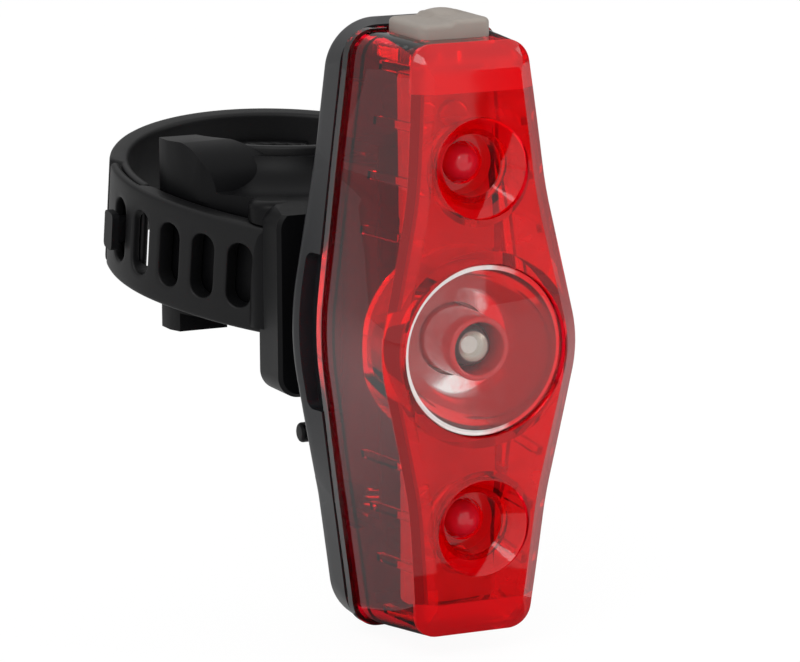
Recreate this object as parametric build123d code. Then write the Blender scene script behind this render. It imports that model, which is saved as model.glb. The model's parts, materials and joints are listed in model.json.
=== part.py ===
from build123d import *
import math
import os
from dataclasses import dataclass

os.makedirs("parts", exist_ok=True)

# Bicycle tail light with its seatpost bracket, in millimetres.
# The origin is on the seatpost's axis, at the middle of the saddle's height.
# +Z runs up the post, the light shines along -Y, and +X is to the right for someone who looks at the lens.

# Seatpost saddle
post_r = 15.9
pad_t = 1.5
pad_half_angle = 70.0
pad_half_h = 12.0
ear_top_z = 12.8
ear_front_y = -10.4
ear_nose_y = -16.0
ear_nose_z = 6.5
saddle_tip_y = -4.6
saddle_foot_z = -13.9
saddle_foot_step = 2.6
saddle_step_y = -9.6
crest_z = 10.8
crest_w = 1.3
hollow_low_z = 6.2
flank_x = 22.3
boss_top_z = 6.3
socket_boss_r = 3.2

# Shoe that the light slides into
shoe_front_y = -30.8
shoe_half_w = 15.7
shoe_top_z = 5.3
shoe_bottom_z = -20.1
shoe_corner_r = 3.0
shoe_lip_t = 1.6
shoe_web_t = 2.2
shoe_floor_t = 1.6
shoe_top_slope = 0.9
channel_half_w = 8.8
channel_depth = 3.0
throat_half_w = 5.6
slide_gap = 0.3

# Release lever
lever_half_w = 4.6
lever_t = 1.3
lever_root_z = -3.6
lever_bead_r = 0.9
lever_fit = 0.06
lever_tab_half_w = 8.7
lever_tab_z = -27.3
lever_tab_back = 4.1
lever_tab_r = 1.4
catch_half_w = 3.6
catch_h = 1.6
catch_reach = 0.95
catch_z = -15.8

# Strap: a ring round the post, with a flare at each side down to the shoe
strap_tilt = 9.6
strap_h = 15.3
strap_t = 2.8
strap_drop = 4.8
strap_set_back = 0.3
ring_r = 26.5
flare_r = 46.0
flare_from = 19.3
flare_sweep = 23.6
strap_bead_r = 2.3
strap_gap = 0.3
slot_w = 3.8
slot_h = 9.2
slot_pitch = 6.1
slot_first = 3.7
slot_count = 5
lap_before = 4.6
lap_after = 7.0
grip_pad_t = 1.0
grip_pad_h = 9.6
grip_pad_drop = 1.4
grip_pad_angle = 56.0
stud_head_h = 5.4
stud_head_w = 3.0
stud_head_t = 1.0
stud_neck_h = 3.8
stud_neck_w = 1.8
stud_stand_off = 0.7

# Light body
face_y = -63.0
light_z = -9.0
shell_depth = 20.6
housing_depth = 6.1
parting_gap = 0.3
crown_sweep_r = 300.0
face_chamfer = 2.1
facet_top = 36.0
facet_foot = 34.5
facet_slope = 30.0
lens_wall = 1.5
rim_step = 0.35
rim_depth = 1.6
housing_wall = 1.5
housing_back_wall = 1.5
housing_edge_r = 1.4
notch_half_h = 10.7
notch_depth = 3.4
notch_in = 0.6
gasket_t = 1.0
gasket_inset = 1.0
gasket_w = 0.5
spigot_gap = 0.25
spigot_t = 1.1
spigot_in = 2.4
rib_pitch = 7.2
rib_first = 15.0
rib_count = 4
rib_t = 1.1
rib_reach = 0.8
rib_front = 4.2

# Small dishes and centre lens
dish_z = 24.0
dish_r = 6.6
dish_depth = 2.7
throat_r = 4.2
dish_wall = 1.1
dish_floor_depth = 7.3
dish_floor_t = 1.0
led_window_gap = 0.35
centre_r = 11.6
shroud_t = 1.5
shroud_depth = 9.0
lens_seat_depth = 1.3
lens_seat_w = 0.3
centre_lens_t = 1.2
centre_lens_gap = 0.1
centre_dome_r = 60.0
bowl_rim_w = 0.5
bowl_depth = 8.0
bowl_wall = 0.8
collar_r = 4.2
collar_t = 0.8
collar_gap = 0.35
collar_top_depth = 2.4

# Circuit board, diodes and switch
board_y = -52.0
board_t = 1.2
board_half_w = 6.2
board_half_h = 35.8
board_disc_r = 10.6
led_r = 2.5
led_flange_r = 2.95
led_flange_t = 1.0
small_led_depth = 5.4
centre_led_r = 2.85
centre_led_depth = 3.4
switch_w = 6.0
switch_d = 3.4
switch_h = 3.0
stem_r = 1.4
stem_out = 0.9
stem_fit = 0.08
button_travel = 0.6

# Button pad
button_w = 10.2
button_d = 11.6
button_back_y = -43.0
button_corner_r = 1.5
button_sink = 1.3
button_proud = 2.3
button_gap = 0.3
button_leg_r = 1.5
button_step = 0.5
button_dome_r = 7.0
button_dome_rise = 0.9

# Cells, tray and contacts
cell_r = 5.25
cell_len = 44.5
cell_nub_r = 1.9
cell_nub_h = 1.0
cell_x = 5.35
cell_gap = 0.25
bay_half = 24.6
contact_t = 0.4
tray_wall = 1.2
tray_half_w = 8.4
tray_floor_t = 0.8
spring_wire = 0.6
spring_turns = 3
screw_z = 30.0
screw_r = 1.0
screw_head_r = 2.0
screw_head_t = 1.2
boss_r = 2.5

groove_r = post_r + pad_t
part_y = face_y + shell_depth
back_y = part_y + housing_depth
shoe_back_y = shoe_front_y + shoe_lip_t + channel_depth + shoe_web_t
channel_front_y = shoe_front_y + shoe_lip_t
channel_back_y = channel_front_y + channel_depth
lever_mid_y = channel_back_y + shoe_web_t / 2
crest_end_y = -groove_r - 2.0
strap_origin_y = shoe_back_y - strap_set_back
board_back_y = board_y + board_t
cell_y = back_y - housing_back_wall - cell_gap - cell_r
tray_y = cell_y - cell_r - cell_gap


@dataclass
class Outline:
    """Half of a long eight-sided outline: widest in the middle, with rounded corners top and bottom."""

    apex: float
    knee: float
    knee_z: float
    end: float
    top: float
    foot: float
    apex_r: float
    knee_r: float
    corner_r: float

    def face(self, y, inset=0.0):
        """The outline as a face at depth y, drawn in by inset."""
        a, k, e = self.apex - inset, self.knee - inset, self.end - inset
        z, t, f = self.knee_z, self.top - inset, inset - self.foot
        corners = [(a, 0), (k, z), (e, t), (-e, t), (-k, z), (-a, 0), (-k, -z), (-e, f), (e, f), (k, -z)]
        flat = make_face(Polyline(*corners, close=True))
        flat = rounded(flat, self.apex_r, [(a, 0), (-a, 0)])
        flat = rounded(flat, self.knee_r, [(k, z), (-k, z), (-k, -z), (k, -z)])
        flat = rounded(flat, max(self.corner_r - inset, 0.6), [(e, t), (-e, t), (-e, f), (e, f)])
        return facing(y) * flat


def rounded(flat, radius, points):
    """Rounds the corners of a flat face that lie nearest to the given points."""
    near = [min(flat.vertices(), key=lambda v: (v.X - x) ** 2 + (v.Y - z) ** 2) for x, z in points]
    return fillet(near, radius)


def facing(y):
    """Plane across the light at depth y: X to the right, Z up, normal out of the lens."""
    return Plane(origin=(0, y, light_z), x_dir=(1, 0, 0), z_dir=(0, -1, 0))


def level(z):
    """Plane square to the seatpost at height z."""
    return Plane(origin=(0, 0, z))


def disc(x, z, y_front, y_back, radius):
    """Round bar along Y, centred on (x, z) of the light."""
    return extrude(facing(y_back) * Pos(x, z) * Circle(radius), amount=y_back - y_front)


def block(x0, x1, y0, y1, z0, z1):
    """Box between two corners."""
    return Pos((x0 + x1) / 2, (y0 + y1) / 2, (z0 + z1) / 2) * Box(x1 - x0, y1 - y0, z1 - z0)


def turned(x, z, points):
    """Solid of revolution about the Y axis through (x, z) of the light, from (radius, depth) points."""
    upright = Plane(origin=(x, 0, light_z + z), x_dir=(1, 0, 0), z_dir=(0, 0, 1))
    mirrored = [(r, face_y + d) for r, d in points]
    profile = make_face(Polyline(*mirrored, close=True))
    return revolve(upright * profile, Axis((x, 0, light_z + z), (0, 1, 0)), 360)


front_outline = Outline(14.4, 9.6, 20.0, 7.6, 40.2, 38.6, 16.0, 60.0, 3.2)
base_outline = Outline(15.2, 12.5, 22.7, 10.2, 40.4, 40.2, 45.0, 60.0, 3.4)
seam_outline = Outline(15.8, 13.0, 22.7, 10.7, 41.0, 40.9, 45.0, 60.0, 5.4)
back_outline = Outline(17.9, 13.1, 22.7, 10.6, 41.6, 41.6, 41.0, 60.0, 7.8)


def crowned(body, inset=0.0):
    """Keeps what lies behind the gently curved face of the lens, drawn in by inset."""
    axis_y = face_y + crown_sweep_r
    roller = Pos(0, axis_y, light_z) * Rot(0, 90, 0) * Cylinder(crown_sweep_r - inset, 80)
    return body & roller


def crown_drop(z):
    """How far the crowned face lies behind its middle at height z."""
    return crown_sweep_r - math.sqrt(crown_sweep_r ** 2 - z ** 2)


def faceted(body, inset=0.0):
    """Cuts the sloping facet off each end of the face, drawn in by inset."""
    slope = math.radians(facet_slope)
    for side, z in ((1, facet_top), (-1, -facet_foot)):
        out = (0, -math.cos(slope), side * math.sin(slope))
        spot = (0, face_y + crown_drop(z) - inset * out[1], light_z + z - inset * out[2])
        body -= extrude(Plane(origin=spot, x_dir=(1, 0, 0), z_dir=out) * Rectangle(60, 40), amount=20)
    return body


def lens_hollow(wall=lens_wall):
    """Space inside the lens shell, or further in for a larger wall."""
    hollow = loft([front_outline.face(face_y, wall), base_outline.face(part_y, wall)])
    return faceted(crowned(hollow, wall), wall)


def front_lens():
    """Red lens shell: crowned face, two conical dishes, a shroud round the centre and ribs on the side walls."""
    outside = crowned(loft([front_outline.face(face_y), base_outline.face(part_y)]))
    outside = faceted(chamfer(outside.faces().sort_by(Axis.Y)[0].edges(), face_chamfer))
    rim = extrude(base_outline.face(part_y, -rim_step), amount=rim_depth)
    whole = outside + rim
    shell = whole - lens_hollow()
    shell += (whole & shroud())
    for side in (1, -1):
        for row in range(rib_count):
            shell += wall_rib(side * (rib_first + row * rib_pitch))
        shell += whole & dish(side * dish_z)
        shell -= dish_bore(side * dish_z)
    shell -= disc(0, 0, face_y - 1, part_y, centre_r - lens_seat_w)
    shell -= disc(0, 0, face_y - 1, face_y + lens_seat_depth, centre_r)
    return button_pocket(shell)


def shroud():
    """Tube inside the lens round the centre bowl."""
    return disc(0, 0, face_y, face_y + shroud_depth, centre_r + shroud_t)


dish_set = crown_drop(dish_z)


def dish(z):
    """Wall of one small dish, before its bore is cut."""
    lip, floor = dish_set + 0.7, dish_floor_depth + dish_floor_t
    rim_r, neck_r = dish_r + dish_wall, throat_r + dish_wall
    return turned(0, z, [
        (0, 0), (rim_r, 0), (rim_r, lip + 0.3), (neck_r, lip + dish_depth + 0.1), (neck_r, floor), (0, floor)])


def dish_bore(z):
    """Hollow of one small dish: a cone, a round throat and the window for the diode's dome."""
    window = led_r + led_window_gap
    lip, floor = dish_set + 0.7, dish_floor_depth + dish_floor_t
    return turned(0, z, [
        (0, -1), (dish_r, -1), (dish_r, lip), (throat_r, lip + dish_depth), (throat_r, dish_floor_depth),
        (window, dish_floor_depth), (window, floor + 1), (0, floor + 1)])


def wall_rib(z):
    """Pair of upright ribs, one inside each side wall, that follow the wall's slant."""
    ring = lens_hollow() - lens_hollow(lens_wall + rib_reach)
    front, back = face_y + rib_front, tray_y - 0.6
    slab = block(-20, 20, front, back, light_z + z - rib_t / 2, light_z + z + rib_t / 2)
    return ring & slab


def button_pocket(shell):
    """Adds the thicker roof and the pocket and hole for the button."""
    top = base_outline.top
    floor = top - button_sink - button_travel - 0.1
    roof_t = 1.3
    half_w = button_w / 2 + 1.6
    roof = block(-half_w, half_w, button_back_y - button_d - 1.6, part_y - rim_depth,
                 light_z + floor - roof_t, light_z + top - 0.6)
    shell += roof & (lens_hollow() + shell)
    grown = RectangleRounded(button_w + 2 * button_gap, button_d + 2 * button_gap, button_corner_r + button_gap)
    shell -= extrude(Plane(origin=(0, button_back_y - button_d / 2, light_z + floor)) * grown, amount=10)
    hole = Pos(0, leg_y, light_z + floor) * Cylinder(button_leg_r + button_gap, 8)
    return shell - hole


leg_y = board_back_y + switch_d / 2
stem_top = board_half_h + stem_out


def button_pad():
    """Rubber key: rounded pad with a raised step and a shallow dome, and a leg down to the switch."""
    bottom = light_z + base_outline.top - button_sink
    top = light_z + base_outline.top + button_proud - button_step
    centre_y = button_back_y - button_d / 2
    pad = extrude(Plane(origin=(0, centre_y, bottom)) * RectangleRounded(button_w, button_d, button_corner_r),
                  amount=top - bottom)
    pad = fillet(pad.faces().sort_by(Axis.Z)[-1].edges(), 0.6)
    step_w = button_w * 0.5
    step = extrude(Plane(origin=(button_w / 2 - step_w / 2 - 0.4, centre_y, top - 0.3))
                   * RectangleRounded(step_w, button_d - 0.8, 1.6), amount=button_step + 0.3)
    pad += fillet(step.faces().sort_by(Axis.Z)[-1].edges(), 0.4)
    ball = Pos(-0.6, centre_y + 0.6, top + button_dome_rise - button_dome_r) * Sphere(button_dome_r)
    pad += ball & Pos(-0.6, centre_y + 0.6, top + 1.0) * Box(6.4, 7.0, 3.0)
    leg_bottom = light_z + stem_top + 0.1
    leg = Pos(0, leg_y, (leg_bottom + bottom) / 2) * Cylinder(button_leg_r, bottom - leg_bottom + 0.2)
    return pad + leg


def centre_lens():
    """Clear disc, slightly domed, that closes the centre bowl."""
    r = centre_r - centre_lens_gap
    back = lens_seat_depth
    ball = Pos(0, face_y + back - centre_lens_t - 0.4 + centre_dome_r, light_z) * Sphere(centre_dome_r)
    return disc(0, 0, face_y - 1, face_y + back, r) & ball


def centre_reflector():
    """Chromed bowl with a flat rim, open at the bottom round the diode's collar."""
    rim = centre_r - lens_seat_w - 0.15
    top = lens_seat_depth + 0.1
    bottom = top + bowl_depth
    hole = collar_r + collar_gap
    with BuildSketch(Plane(origin=(0, 0, light_z), x_dir=(1, 0, 0), z_dir=(0, 0, 1))) as profile:
        with BuildLine():
            a, b = (rim - bowl_rim_w, face_y + top), (hole, face_y + bottom)
            inside = ThreePointArc(a, (rim - 2.6, face_y + top + bowl_depth * 0.62), b)
            Line(b, (hole, face_y + bottom + bowl_wall))
            outside = ThreePointArc((hole, face_y + bottom + bowl_wall),
                                    (rim - 1.6, face_y + top + bowl_depth * 0.68), (rim, face_y + top + 0.8))
            Line((rim, face_y + top + 0.8), (rim, face_y + top))
            Line((rim, face_y + top), a)
        make_face()
    return revolve(profile.sketch, Axis((0, 0, light_z), (0, 1, 0)), 360)


def led_collar():
    """Red tube round the centre diode, from the board to just behind the centre lens."""
    tube = disc(0, 0, face_y + collar_top_depth, board_y, collar_r)
    return tube - disc(0, 0, face_y, board_y + 1, collar_r - collar_t)


def diode(z, radius, flange_r, depth):
    """Round diode standing on the board, with a flange and a domed tip."""
    tip = face_y + depth
    body = disc(0, z, tip + radius, board_y, radius)
    body += disc(0, z, board_y - led_flange_t, board_y, flange_r)
    ball = Pos(0, tip + radius, light_z + z) * Sphere(radius)
    return body + (ball & disc(0, z, tip - 1, tip + radius + 0.1, radius + 1))


def circuit_board():
    """Board: a long strip with a round middle, drilled for its two screws."""
    flat = RectangleRounded(2 * board_half_w, 2 * board_half_h, 1.0) + Circle(board_disc_r)
    board = extrude(facing(board_back_y) * flat, amount=board_t)
    for side in (1, -1):
        board -= disc(0, side * screw_z, board_y - 1, board_back_y + 1, screw_r + 0.2)
    return board


def board_parts():
    """What is soldered to the back of the board: a driver chip, a coil and four small passives."""
    back = board_back_y
    parts = [block(-2.6, 2.6, back, back + 1.4, light_z + 4.0, light_z + 9.2)]
    parts.append(Pos(0, back + 0.9, light_z - 6.0) * Rot(90, 0, 0) * Cylinder(2.6, 1.8))
    for row in range(4):
        z = light_z - 17.0 + row * 2.6
        parts.append(block(-1.6, 1.6, back, back + 0.8, z, z + 1.3))
    return Compound(parts)


def tact_switch():
    """Right-angled push switch on the back of the board's top end, with its stem's well."""
    top = light_z + board_half_h
    body = block(-switch_w / 2, switch_w / 2, board_back_y, board_back_y + switch_d, top - switch_h, top)
    well = Pos(0, leg_y, top) * Cylinder(stem_r + stem_fit, 2 * (button_travel + 1.2))
    return body - well


def switch_stem():
    """Stem that the button's leg presses into the switch."""
    top = light_z + stem_top
    bottom = light_z + board_half_h - 1.1
    return Pos(0, leg_y, (top + bottom) / 2) * Cylinder(stem_r, top - bottom)


def cell(side):
    """One AAA cell: the left one stands plus up, the right one plus down."""
    plus = bay_half - contact_t
    can_len = cell_len - cell_nub_h
    can = Pos(0, 0, plus - cell_nub_h - can_len / 2) * Cylinder(cell_r, can_len)
    can = fillet(can.edges(), 0.4)
    can += Pos(0, 0, plus - cell_nub_h / 2 - 0.05) * Cylinder(cell_nub_r, cell_nub_h + 0.1)
    turn = Rot(0, 0, 0) if side < 0 else Rot(0, 180, 0)
    return Pos(side * cell_x, cell_y, light_z) * turn * can


def battery_tray():
    """Carrier behind the board: floor, two end walls, a divider and ears that the screws hold."""
    half_w = tray_half_w
    end = bay_half + tray_wall
    floor = block(-half_w, half_w, tray_y - tray_floor_t, tray_y, light_z - end, light_z + end)
    for side in (1, -1):
        window_z = light_z + side * 8.5
        floor -= block(-3.6, 3.6, tray_y - 2, tray_y + 2, window_z - 6, window_z + 6)
        z0, z1 = sorted((side * bay_half, side * end))
        wall = extrude(level(light_z + z0) * Pos(0, (tray_y + cell_y + 3.4) / 2)
                       * Rectangle(2 * half_w, cell_y + 3.4 - tray_y), amount=z1 - z0)
        floor += fillet(wall.edges().filter_by(Axis.Z).sort_by(Axis.Y)[-2:], 2.0)
        z0, z1 = sorted((side * end, side * (screw_z + 2.4)))
        floor += block(-boss_r, boss_r, tray_y - tray_floor_t, tray_y, light_z + z0, light_z + z1)
        floor -= disc(0, side * screw_z, tray_y - 3, tray_y + 3, screw_r + 0.2)
        spacer = disc(0, side * screw_z, board_back_y, tray_y - tray_floor_t, boss_r)
        floor += spacer - disc(0, side * screw_z, board_back_y - 1, tray_y, screw_r + 0.2)
    return floor


def contact_plate(x0, x1, side):
    """Flat contact on the inside of one end wall of the tray."""
    z0, z1 = sorted((side * (bay_half - contact_t), side * bay_half))
    return block(x0, x1, cell_y - 3.2, cell_y + 3.2, light_z + z0, light_z + z1)


def contact_spring(x, side):
    """Conical coil between a contact plate and a cell's flat end."""
    length = 2 * bay_half - 2 * contact_t - cell_len
    start = side * (bay_half - contact_t)
    rise = length - spring_wire
    coil = Helix(pitch=rise / spring_turns, height=rise, radius=3.1, cone_angle=-14)
    wire = sweep(Plane(coil @ 0, z_dir=coil % 0) * Circle(spring_wire / 2), path=coil)
    turn = Rot(180, 0, 0) if side > 0 else Rot(0, 0, 0)
    return Pos(x, cell_y, light_z + start - side * spring_wire / 2) * turn * wire


def board_screw(side):
    """Pan-head screw through board and tray into the housing's boss."""
    z = side * screw_z
    head = disc(0, z, board_y - screw_head_t, board_y, screw_head_r)
    head = fillet(head.faces().sort_by(Axis.Y)[0].edges(), 0.5)
    shank = disc(0, z, board_y - 0.1, tray_y + 5.0, screw_r - 0.1)
    slot = block(-screw_head_r, screw_head_r, board_y - screw_head_t - 1, board_y - screw_head_t + 0.5,
                 light_z + z - 0.3, light_z + z + 0.3)
    return head + shank - slot


def gasket():
    """Rubber ring in the housing's groove that seals the seam."""
    outer = base_outline.face(part_y + gasket_t, gasket_inset)
    inner = base_outline.face(part_y + gasket_t, gasket_inset + gasket_w)
    return extrude(outer, amount=gasket_t) - extrude(inner, amount=gasket_t)


def rear_housing():
    """Black back shell: flared sides with a notch, seal step, bosses, cell cradles and the shoe's rail."""
    front = part_y + parting_gap
    shell = loft([back_outline.face(back_y), seam_outline.face(front)])
    shell = fillet(shell.faces().sort_by(Axis.Y)[-1].edges(), housing_edge_r)
    hollow = extrude(base_outline.face(back_y - housing_back_wall, housing_wall), amount=housing_depth)
    shell -= hollow
    shell -= extrude(base_outline.face(part_y + gasket_t + 0.05, gasket_inset - 0.05), amount=gasket_t)
    for side in (1, -1):
        shell -= pry_notch(side)
        boss = disc(0, side * screw_z, tray_y + 0.05, back_y - 1, boss_r)
        shell += boss - disc(0, side * screw_z, tray_y - 1, back_y - housing_back_wall, screw_r - 0.1)
        shell += end_spigot(side)
        shell += cell_cradle(side * 12.0)
    return shell + rail()


def pry_notch(side):
    """Finger notch in the middle of one flank, where a coin opens the seam."""
    x0, x1 = sorted((side * 8, side * 25))
    cut = block(x0, x1, part_y - 1, part_y + notch_depth, light_z - notch_half_h, light_z + notch_half_h)
    corner = cut.edges().filter_by(Axis.X).sort_by(Axis.Y)[-2:]
    return fillet(corner, 1.2) - extrude(base_outline.face(back_y, notch_in), amount=housing_depth + 2)


def end_spigot(side):
    """Wall at one end of the housing that enters the lens shell and keeps it in line."""
    outer, inner = lens_wall + spigot_gap, lens_wall + spigot_gap + spigot_t
    root_y = part_y + housing_depth / 2
    wall = lens_hollow(outer) - lens_hollow(inner)
    wall += extrude(base_outline.face(root_y, outer), amount=root_y - part_y)
    wall -= extrude(base_outline.face(root_y + 1, inner), amount=root_y + 1 - part_y)
    foot_y = part_y + gasket_t + 0.5
    wall += (extrude(base_outline.face(root_y, housing_wall - 0.1), amount=root_y - foot_y)
             - extrude(base_outline.face(root_y + 1, inner), amount=housing_depth))
    z0, z1 = sorted((side * (bay_half + tray_wall + 0.6), side * 45))
    wall = wall & block(-20, 20, part_y - spigot_in, root_y, light_z + z0, light_z + z1)
    if side > 0:
        low = light_z + board_half_h - 2
        wall -= block(-button_w, button_w, part_y - 4, part_y + parting_gap, low, light_z + 45)
    return wall


def cell_cradle(z):
    """Rib on the back wall with two round seats for the cells."""
    rib = block(-10.2, 10.2, cell_y + 1.6, back_y - 1, light_z + z - 0.6, light_z + z + 0.6)
    for side in (1, -1):
        rib -= Pos(side * cell_x, cell_y, light_z + z) * Cylinder(cell_r + 0.15, 4)
    return rib


def rail():
    """T-shaped rail on the back of the housing: a stem and a wide tongue with a pocket for the catch."""
    bottom = shoe_bottom_z + shoe_floor_t + 0.1
    top = shoe_top_z - 0.2
    front, back = channel_front_y + slide_gap, channel_back_y - slide_gap
    stem = block(-throat_half_w + slide_gap, throat_half_w - slide_gap, back_y - 1, front + 0.5, bottom, top)
    half = channel_half_w - slide_gap
    tongue = block(-half, half, front, back, bottom, top)
    tongue = fillet(tongue.edges().filter_by(Axis.Y), 1.6)
    pocket_top = catch_z + catch_h / 2 + 0.2
    pocket_bottom = catch_z - catch_h / 2 - 0.2
    pocket = block(-catch_half_w - 0.4, catch_half_w + 0.4, back - catch_reach - 0.3, back + 1,
                   pocket_bottom, pocket_top)
    return stem + tongue - pocket


def saddle_web():
    """Front wall of the saddle: a hollow slope that runs round the post from the shoe's top up to a flat crest."""
    foot_r, crest_r = -shoe_back_y, groove_r + crest_w
    low = (foot_r, hollow_low_z)
    high = (crest_r, crest_z)
    middle = ((foot_r + crest_r) / 2 - 0.8, (hollow_low_z + crest_z) / 2 - 0.8)
    with BuildSketch(Plane.XZ) as sketch:
        with BuildLine():
            ThreePointArc(low, middle, high)
            Polyline(high, (0, crest_z), (0, saddle_foot_z), (2 * foot_r, saddle_foot_z),
                     (2 * foot_r, hollow_low_z), low)
        make_face()
    return revolve(sketch.sketch, Axis.Z, 360)


def saddle_ears():
    """Cheeks from the side: a flat top and a rounded nose that drops towards the shoe."""
    top = (ear_front_y, ear_top_z)
    nose = (ear_nose_y, ear_nose_z)
    middle = ((ear_front_y + ear_nose_y) / 2 - 1.0, (ear_top_z + ear_nose_z) / 2 + 0.9)
    end_y = shoe_back_y + 3.8
    with BuildSketch(Plane.YZ) as sketch:
        with BuildLine():
            ThreePointArc(top, middle, nose)
            Polyline(nose, (end_y, ear_nose_z - 1.9), (end_y, saddle_foot_z), (0, saddle_foot_z),
                     (0, ear_top_z), top)
        make_face()
    return extrude(sketch.sketch, amount=30, both=True)


def saddle():
    """Cradle for the post: flared cheeks that follow the strap, with the round seat and the lever's pocket."""
    neck = shoe_half_w - 3.4
    right = [(neck, shoe_back_y - 0.5), (neck + 4.0, shoe_back_y + 5.2), (flank_x - 2.2, shoe_back_y + 10.0),
             (flank_x, saddle_tip_y - 3.0), (flank_x, saddle_tip_y), (0, saddle_tip_y)]
    left = [(-x, y) for x, y in reversed(right)]
    plan = make_face(Polyline(*right, *left[1:], close=True))
    body = extrude(plan, amount=30, both=True) & (saddle_web() + saddle_ears())
    body -= Cylinder(groove_r, 80)
    body -= block(-30, 30, shoe_back_y - 1, saddle_step_y, -40, saddle_foot_z + saddle_foot_step)
    half_w = lever_half_w + 1.6
    return body - block(-half_w, half_w, shoe_back_y - 1, crest_end_y, -40, lever_root_z + 1.0)


def socket_boss(side):
    """Round boss behind the shoe's corner, round the socket of the strap's bead."""
    x, y = anchor_spot()
    height = boss_top_z - saddle_foot_z - saddle_foot_step
    centre = Pos(side * x, strap_origin_y + y - 1.3, boss_top_z - height / 2)
    boss = centre * Cylinder(socket_boss_r, height)
    return fillet(boss.faces().sort_by(Axis.Z)[-1].edges(), 1.2)


def shoe():
    """Block with a T-shaped channel, open at the top, and a window in its back for the release lever."""
    mid_z = (shoe_top_z + shoe_bottom_z) / 2
    back_top = shoe_top_z + shoe_top_slope
    plate = block(-shoe_half_w, shoe_half_w, shoe_front_y, shoe_back_y, shoe_bottom_z, back_top)
    plate = fillet(plate.edges().filter_by(Axis.Y), shoe_corner_r)
    wedge = make_face(Polyline((shoe_front_y - 1, shoe_top_z - 0.3), (shoe_back_y + 1, back_top + 0.3),
                               (shoe_back_y + 1, shoe_top_z + 9), (shoe_front_y - 1, shoe_top_z + 9), close=True))
    plate -= extrude(Plane.YZ * wedge, amount=30, both=True)
    floor_z = shoe_bottom_z + shoe_floor_t
    plate -= block(-channel_half_w, channel_half_w, channel_front_y, channel_back_y, floor_z, mid_z + 40)
    plate -= block(-throat_half_w, throat_half_w, shoe_front_y - 1, channel_front_y + 0.5, floor_z, mid_z + 40)
    front_edges = plate.faces().sort_by(Axis.Y)[0].edges().filter_by(Axis.Z)
    return chamfer(front_edges, 0.5)


def bracket_body():
    """Shoe and saddle in one moulding, relieved for the strap and the lever."""
    body = shoe() + saddle() + socket_boss(1) + socket_boss(-1)
    window = lever_half_w + slide_gap
    body -= block(-window, window, channel_back_y - 0.05, shoe_back_y + 0.5, shoe_bottom_z - 1, lever_root_z)
    body -= Pos(0, lever_mid_y, lever_root_z) * Rot(0, 90, 0) * Cylinder(lever_bead_r + lever_fit, 2 * window)
    body -= strap_band(strap_gap)
    body -= Pos(0, -groove_r, 4.0) * Rot(90, 0, 0) * Cylinder(2.2, 5.0)
    return body


def saddle_pad():
    """Rubber lining of the saddle, with a plug that holds it."""
    ring = Cylinder(groove_r - 0.05, 2 * pad_half_h) - Cylinder(post_r, 60)
    half = math.radians(pad_half_angle)
    reach = 60.0
    sector = make_face(Polyline((0, 0), (-reach * math.sin(half), -reach * math.cos(half)), (0, -3 * reach),
                                (reach * math.sin(half), -reach * math.cos(half)), close=True))
    pad = ring & extrude(sector, amount=40, both=True)
    plug = Pos(0, -groove_r - 0.7, 4.0) * Rot(90, 0, 0) * Cylinder(2.1, 2.4)
    return pad + (plug - Cylinder(post_r + 0.5, 60))


def release_lever():
    """Spring lever in the shoe's back: round root, catch for the rail and a tab that a finger pulls."""
    mid, half_t = lever_mid_y, lever_t / 2
    bend = shoe_bottom_z - 0.6
    tip_y = mid + lever_tab_back
    arm = block(-lever_half_w, lever_half_w, mid - half_t, mid + half_t, bend, lever_root_z)
    arm += Pos(0, mid, lever_root_z) * Rot(0, 90, 0) * Cylinder(lever_bead_r, 2 * lever_half_w)
    side = make_face(Polyline((mid - half_t, bend + 0.2), (mid + half_t, bend + 0.2), (mid + half_t, bend - 0.6),
                              (tip_y + 0.5, lever_tab_z + 1.0), (tip_y - 0.6, lever_tab_z - 1.0),
                              (mid - half_t, bend - 1.4), close=True))
    tab = extrude(Plane.YZ * side, amount=lever_half_w, both=True)
    bar = Pos(0, tip_y, lever_tab_z) * Rot(0, 90, 0) * Cylinder(lever_tab_r, 2 * lever_tab_half_w)
    tab += fillet(bar.edges(), 0.5)
    front = channel_back_y - slide_gap - catch_reach
    hook = make_face(Polyline((mid, catch_z - catch_h / 2), (front, catch_z - catch_h / 2),
                              (front, catch_z + catch_h / 2 - 0.5), (mid, catch_z + catch_h / 2), close=True))
    return arm + tab + extrude(Plane.YZ * hook, amount=catch_half_w, both=True)


def strap_plane():
    """Plane of the strap's ring, tilted up towards the back, with its origin behind the shoe."""
    tilt = math.radians(strap_tilt)
    up = (0, -math.sin(tilt), math.cos(tilt))
    return Plane(origin=(0, strap_origin_y, -strap_drop), x_dir=(1, 0, 0), z_dir=up)


def ring_centre():
    """Distance from the strap plane's origin back to the ring's centre: the flare ends beside the shoe."""
    end = math.radians(180 + flare_from + flare_sweep)
    return -(flare_r - ring_r) * math.sin(math.radians(flare_from)) - flare_r * math.sin(end)


def flare_centre(side):
    """Centre of the flare's arc on one side, in the strap's plane."""
    a = math.radians(flare_from)
    return (-side * (flare_r - ring_r) * math.cos(a), ring_centre() + (flare_r - ring_r) * math.sin(a))


def ring_sector(outer, inner, start, end):
    """Part of a flat ring between two angles, in degrees from +X."""
    with BuildSketch() as sketch:
        with BuildLine():
            first = CenterArc((0, ring_centre()), outer, start, end - start)
            second = CenterArc((0, ring_centre()), inner, start, end - start)
            Line(first @ 0, second @ 0)
            Line(first @ 1, second @ 1)
        make_face()
    return sketch.sketch


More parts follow.
